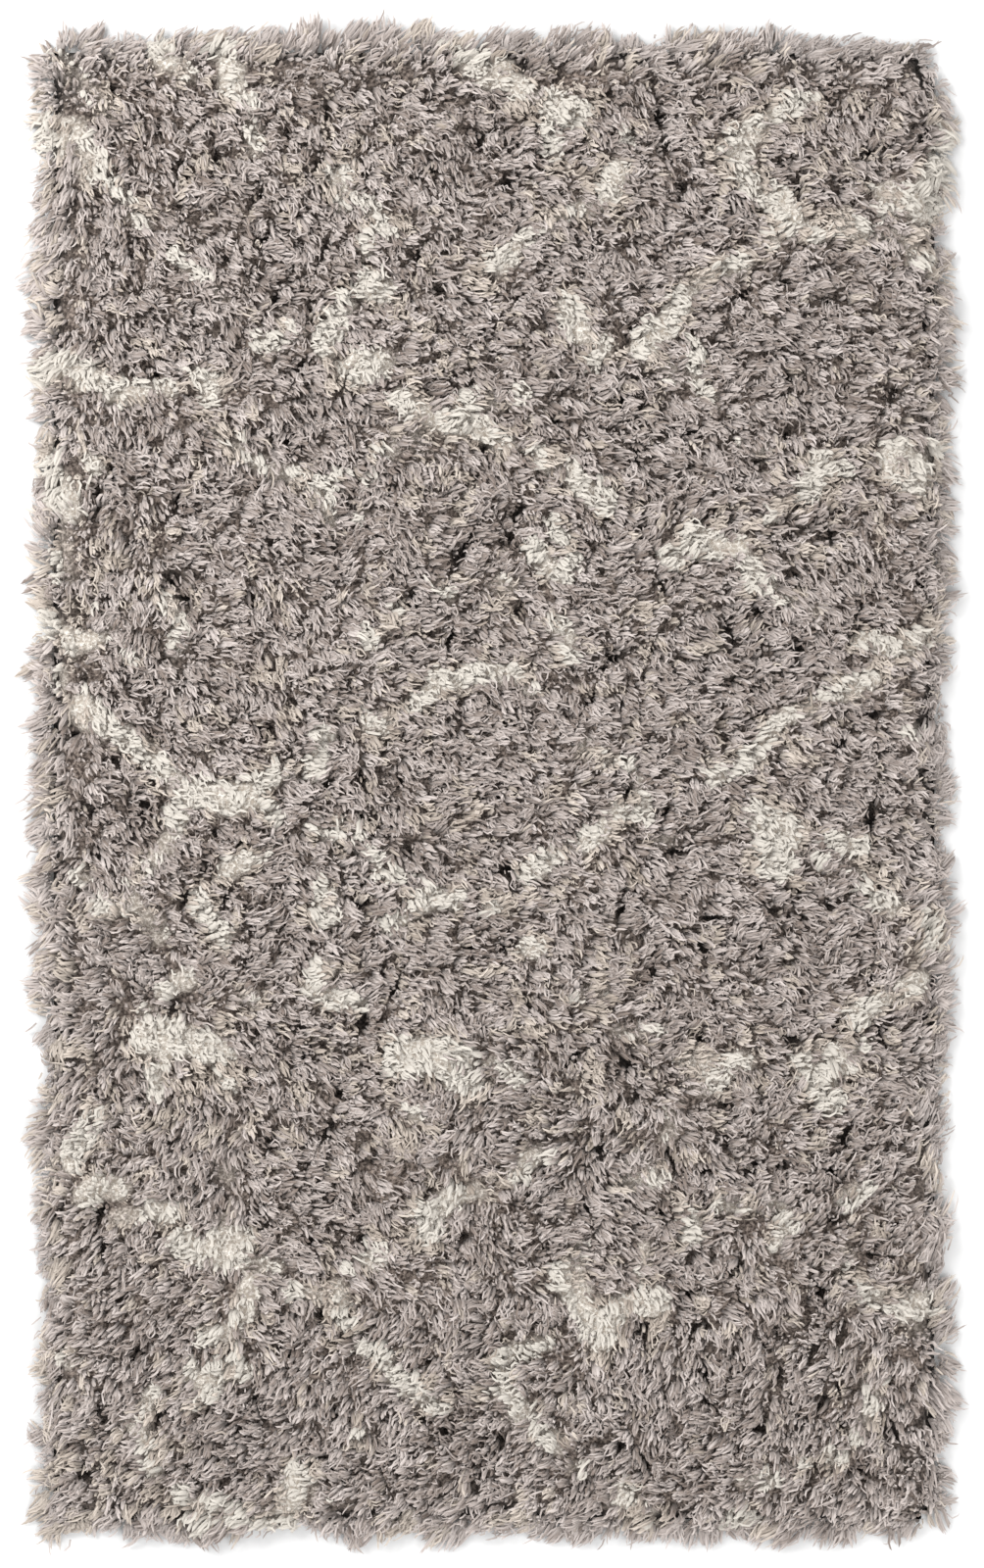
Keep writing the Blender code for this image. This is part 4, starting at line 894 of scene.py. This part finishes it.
def dyed_yarn(name, deep, pale, shade_at_root, cells):
    """Soft spun acrylic and wool, dyed in the hank: matt, each strand a shade off the next, with fine
    fibres along it in paler and darker streaks, partly their own colour and partly painted highlight
    and shade, and painted shade towards the root, less on pale yarn."""
    material, tree, shader = new_material(name)
    tone = add_node(tree, "ShaderNodeAttribute", attribute_name="tone").outputs["Fac"]
    along = add_node(tree, "ShaderNodeAttribute", attribute_name="along").outputs["Fac"]
    strand = add_node(tree, "ShaderNodeUVMap", uv_map="OFBake").outputs["UV"]
    # Fibres are 0.02 mm thick, far too fine to show, so they are drawn about 0.5 mm thick.
    stretch = add_node(tree, "ShaderNodeMapping", {"Vector": strand, "Scale": (cells * 4, cells * 1.8, 1)})
    fibres = add_node(
        tree, "ShaderNodeTexNoise", {"Vector": stretch.outputs[0], "Scale": 1, "Detail": 1}).outputs["Fac"]
    # The fibre streaks are partly the yarn's own colour and partly painted highlight and shade.
    shade = add_node(tree, "ShaderNodeMath", {0: fibres, 1: 1.5, 2: tone}, operation="MULTIPLY_ADD")
    shade = add_node(
        tree, "ShaderNodeMath", {0: shade.outputs[0], 1: 0.75}, operation="SUBTRACT", use_clamp=True)
    colour = add_node(
        tree, "ShaderNodeMix", {0: shade.outputs[0], 6: linear(deep), 7: linear(pale)}, data_type="RGBA")
    # Painted shade: the yarn is drawn darker towards the root, where the pile above shades it.
    root = add_node(tree, "ShaderNodeMapRange", {0: along, 1: 0.3, 2: 0.85, 3: shade_at_root, 4: 1.0})
    painted_root_shade = add_node(
        tree, "ShaderNodeMix", {0: 1.0, 6: colour.outputs[2], 7: root.outputs[0]},
        data_type="RGBA", blend_type="MULTIPLY")
    bump = add_node(tree, "ShaderNodeBump", {"Height": fibres, "Strength": 0.4, "Distance": 0.0006})
    tree.links.new(painted_root_shade.outputs[2], shader.inputs["Base Color"])
    tree.links.new(bump.outputs["Normal"], shader.inputs["Normal"])
    shader.inputs["Roughness"].default_value = 0.85
    shader.inputs["Specular IOR Level"].default_value = 0.25
    shader.inputs["Sheen Weight"].default_value = 0.2
    shader.inputs["Sheen Roughness"].default_value = 0.6
    return material


def directions(runs):
    """Each run's own direction, of length 1."""
    return runs / np.maximum(np.linalg.norm(runs, axis=2, keepdims=True), 1e-6)


def strand_mesh(name, groups, yarns, cells):
    """Strands as one mesh: each has its profile at every station but the last, which is a point, and
    a cell of its own in the UV map."""
    points, tones, shares, loops, sizes, spots, dyes = [], [], [], [], [], [], []
    strands = vertices = 0
    for group in groups:
        kind, count = group.kind, len(group.lines)
        sides, rings = len(kind.profile), len(kind.girths)
        run = directions(np.diff(group.lines, axis=1))
        run[:, 1:] = run[:, 1:] + run[:, :-1]
        run = directions(run)
        sideways = directions(np.cross(run, (0, 0, 1)))
        upward = np.cross(sideways, run)
        girth = group.girth[:, None] * kind.girths
        wide, tall = np.array(kind.profile).T
        ring = (group.lines[:, :rings, None]
                + kind.half * (girth[:, :, None] * wide)[..., None] * sideways[:, :, None]
                + kind.high * (girth[:, :, None] * tall)[..., None] * upward[:, :, None])
        points.append(np.concatenate([ring.reshape(count, -1, 3), group.lines[:, -1:]], 1).reshape(-1, 3))
        tones.append(np.repeat(group.tones, rings * sides + 1))
        shares.append(np.tile(np.append(np.repeat(kind.stations[:-1], sides), 1), count))
        first = vertices + np.arange(count)[:, None] * (rings * sides + 1)
        cell = strands + np.arange(count)
        corner = np.stack([cell % cells, cell // cells], 1)[:, None]
        up = (np.array(kind.stations) - kind.stations[0]) / (1 - kind.stations[0])
        for low in range(rings):
            for i in range(sides - 1):
                here, above = sides * low + i, sides * (low + 1) + i
                face = [here, here + 1, above + 1, above]
                spot = [(i, up[low]), (i + 1, up[low]), (i + 1, up[low + 1]), (i, up[low + 1])]
                if low == rings - 1:
                    face[2:] = [sides * rings]
                    spot[2:] = [((sides - 1) / 2, 1)]
                loops.append((first + face).ravel())
                sizes.append(np.full(count, len(face)))
                spots.append((corner + 0.08 + 0.84 * np.array(spot) / (sides - 1, 1)).reshape(-1, 2))
                dyes.append(group.dyes)
        strands += count
        vertices += count * (rings * sides + 1)
    points = np.concatenate(points)
    points[:, 2] = np.maximum(points[:, 2], LEAST_HEIGHT)
    loops, sizes = np.concatenate(loops), np.concatenate(sizes)
    mesh = bpy.data.meshes.new(name)
    mesh.vertices.add(vertices)
    mesh.vertices.foreach_set("co", (points + (*GROUND_MIDDLE, 0)).ravel())
    mesh.loops.add(len(loops))
    mesh.loops.foreach_set("vertex_index", loops)
    mesh.polygons.add(len(sizes))
    mesh.polygons.foreach_set("loop_start", np.cumsum(sizes) - sizes)
    mesh.polygons.foreach_set("material_index", np.concatenate(dyes).astype(np.int32))
    mesh.update(calc_edges=True)
    mesh.shade_smooth()
    for layer, values in (("tone", tones), ("along", shares)):
        mesh.attributes.new(layer, "FLOAT", "POINT").data.foreach_set("value", np.concatenate(values))
    mesh.uv_layers.new(name="OFBake").data.foreach_set("uv", (np.concatenate(spots) / cells).ravel())
    for yarn in yarns:
        mesh.materials.append(yarn)
    return mesh


groups = pile_strands()
cells = math.ceil(math.sqrt(sum(len(group.lines) for group in groups) / PIECES + 2))  # of a UV map
# The number before cells is how dark each yarn's root is painted as shade, least on the pale cream.
yarns = [
    dyed_yarn("mauve_grey_yarn", "#766961", "#C0B6B1", 0.42, cells),
    dyed_yarn("beige_yarn", "#8F8378", "#C6BBB0", 0.55, cells),
    dyed_yarn("cream_yarn", "#AFA9A0", "#C7C1B8", 0.88, cells),
]
shares_of_rug = [np.array_split(np.argsort(group.lines[:, 0, 1]), PIECES) for group in groups]
for number, rows in enumerate(zip(*shares_of_rug)):
    name = f"pile_{number + 1}"
    picked = [Group(group.kind, group.lines[row], group.girth[row], group.dyes[row], group.tones[row])
              for group, row in zip(groups, rows)]
    piece = bpy.data.objects.new(name, strand_mesh(name, picked, yarns, cells))
    bpy.context.scene.collection.objects.link(piece)
    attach(piece, "root")
    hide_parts("shag_rug")


# ---------------------------------------------------------------------------
# Studio. A white sheet under the rug, a broad soft light from the upper left with
# a weaker one from the lower right, an even white light all round, and a camera
# straight above the middle of the picture.
# ---------------------------------------------------------------------------

PHOTO_SIZE = (1004, 1600)  # pixels
PHOTO_MIDDLE = (504, 802)  # the pixel at which the middle of the ground weave lies
PHOTO_SCALE = 0.0010133  # metres of rug for a pixel
SCALE_LEVEL = 0.03  # height at which that scale holds, about where the pile's outline shows
LENS = 85
SENSOR = 36
FLOOR_HALF = 90  # so wide that its edge shows in no view
FLOOR_DROP = 0.0004  # below the cloth, so that the two don't touch

floor_mesh = bpy.data.meshes.new("floor")
floor_mesh.from_pydata(
    [(x * FLOOR_HALF, y * FLOOR_HALF, 0) for x, y in ((-1, -1), (1, -1), (1, 1), (-1, 1))],
    [], [(0, 1, 2, 3)])
floor = bpy.data.objects.new("floor", floor_mesh)
bpy.context.scene.collection.objects.link(floor)
floor.location.z = -FLOOR_DROP
paper, _, paper_shader = new_material("white_paper")  # matt and even, a little off white
paper_shader.inputs["Base Color"].default_value = linear("#D8D8D8")
paper_shader.inputs["Roughness"].default_value = 0.9
floor_mesh.materials.append(paper)


def soft_light(name, place, size, power):
    """A square soft box that faces the middle of the rug."""
    data = bpy.data.lights.new(name, "AREA")
    data.size = size
    data.energy = power
    light = bpy.data.objects.new(name, data)
    light.location = place
    light.rotation_euler = (-Vector(place)).to_track_quat("-Z", "Y").to_euler()
    bpy.context.scene.collection.objects.link(light)


soft_light("key", (-2.3, 1.7, 2.6), 1.8, 135)
soft_light("fill", (1.5, -2.3, 3.0), 2.6, 66)

world = bpy.data.worlds.new("studio")
world.use_nodes = True
world.node_tree.nodes["Background"].inputs["Color"].default_value = (1, 1, 1, 1)
world.node_tree.nodes["Background"].inputs["Strength"].default_value = 1.0
bpy.context.scene.world = world
bpy.context.scene.view_settings.view_transform = "Standard"

camera_data = bpy.data.cameras.new("camera")
camera_data.lens = LENS
camera_data.sensor_width = SENSOR
camera = bpy.data.objects.new("camera", camera_data)
camera.location = (
    GROUND_MIDDLE[0] + (PHOTO_SIZE[0] / 2 - PHOTO_MIDDLE[0]) * PHOTO_SCALE,
    GROUND_MIDDLE[1] + (PHOTO_MIDDLE[1] - PHOTO_SIZE[1] / 2) * PHOTO_SCALE,
    PHOTO_SIZE[1] * PHOTO_SCALE * LENS / SENSOR + SCALE_LEVEL)
bpy.context.scene.collection.objects.link(camera)
bpy.context.scene.camera = camera
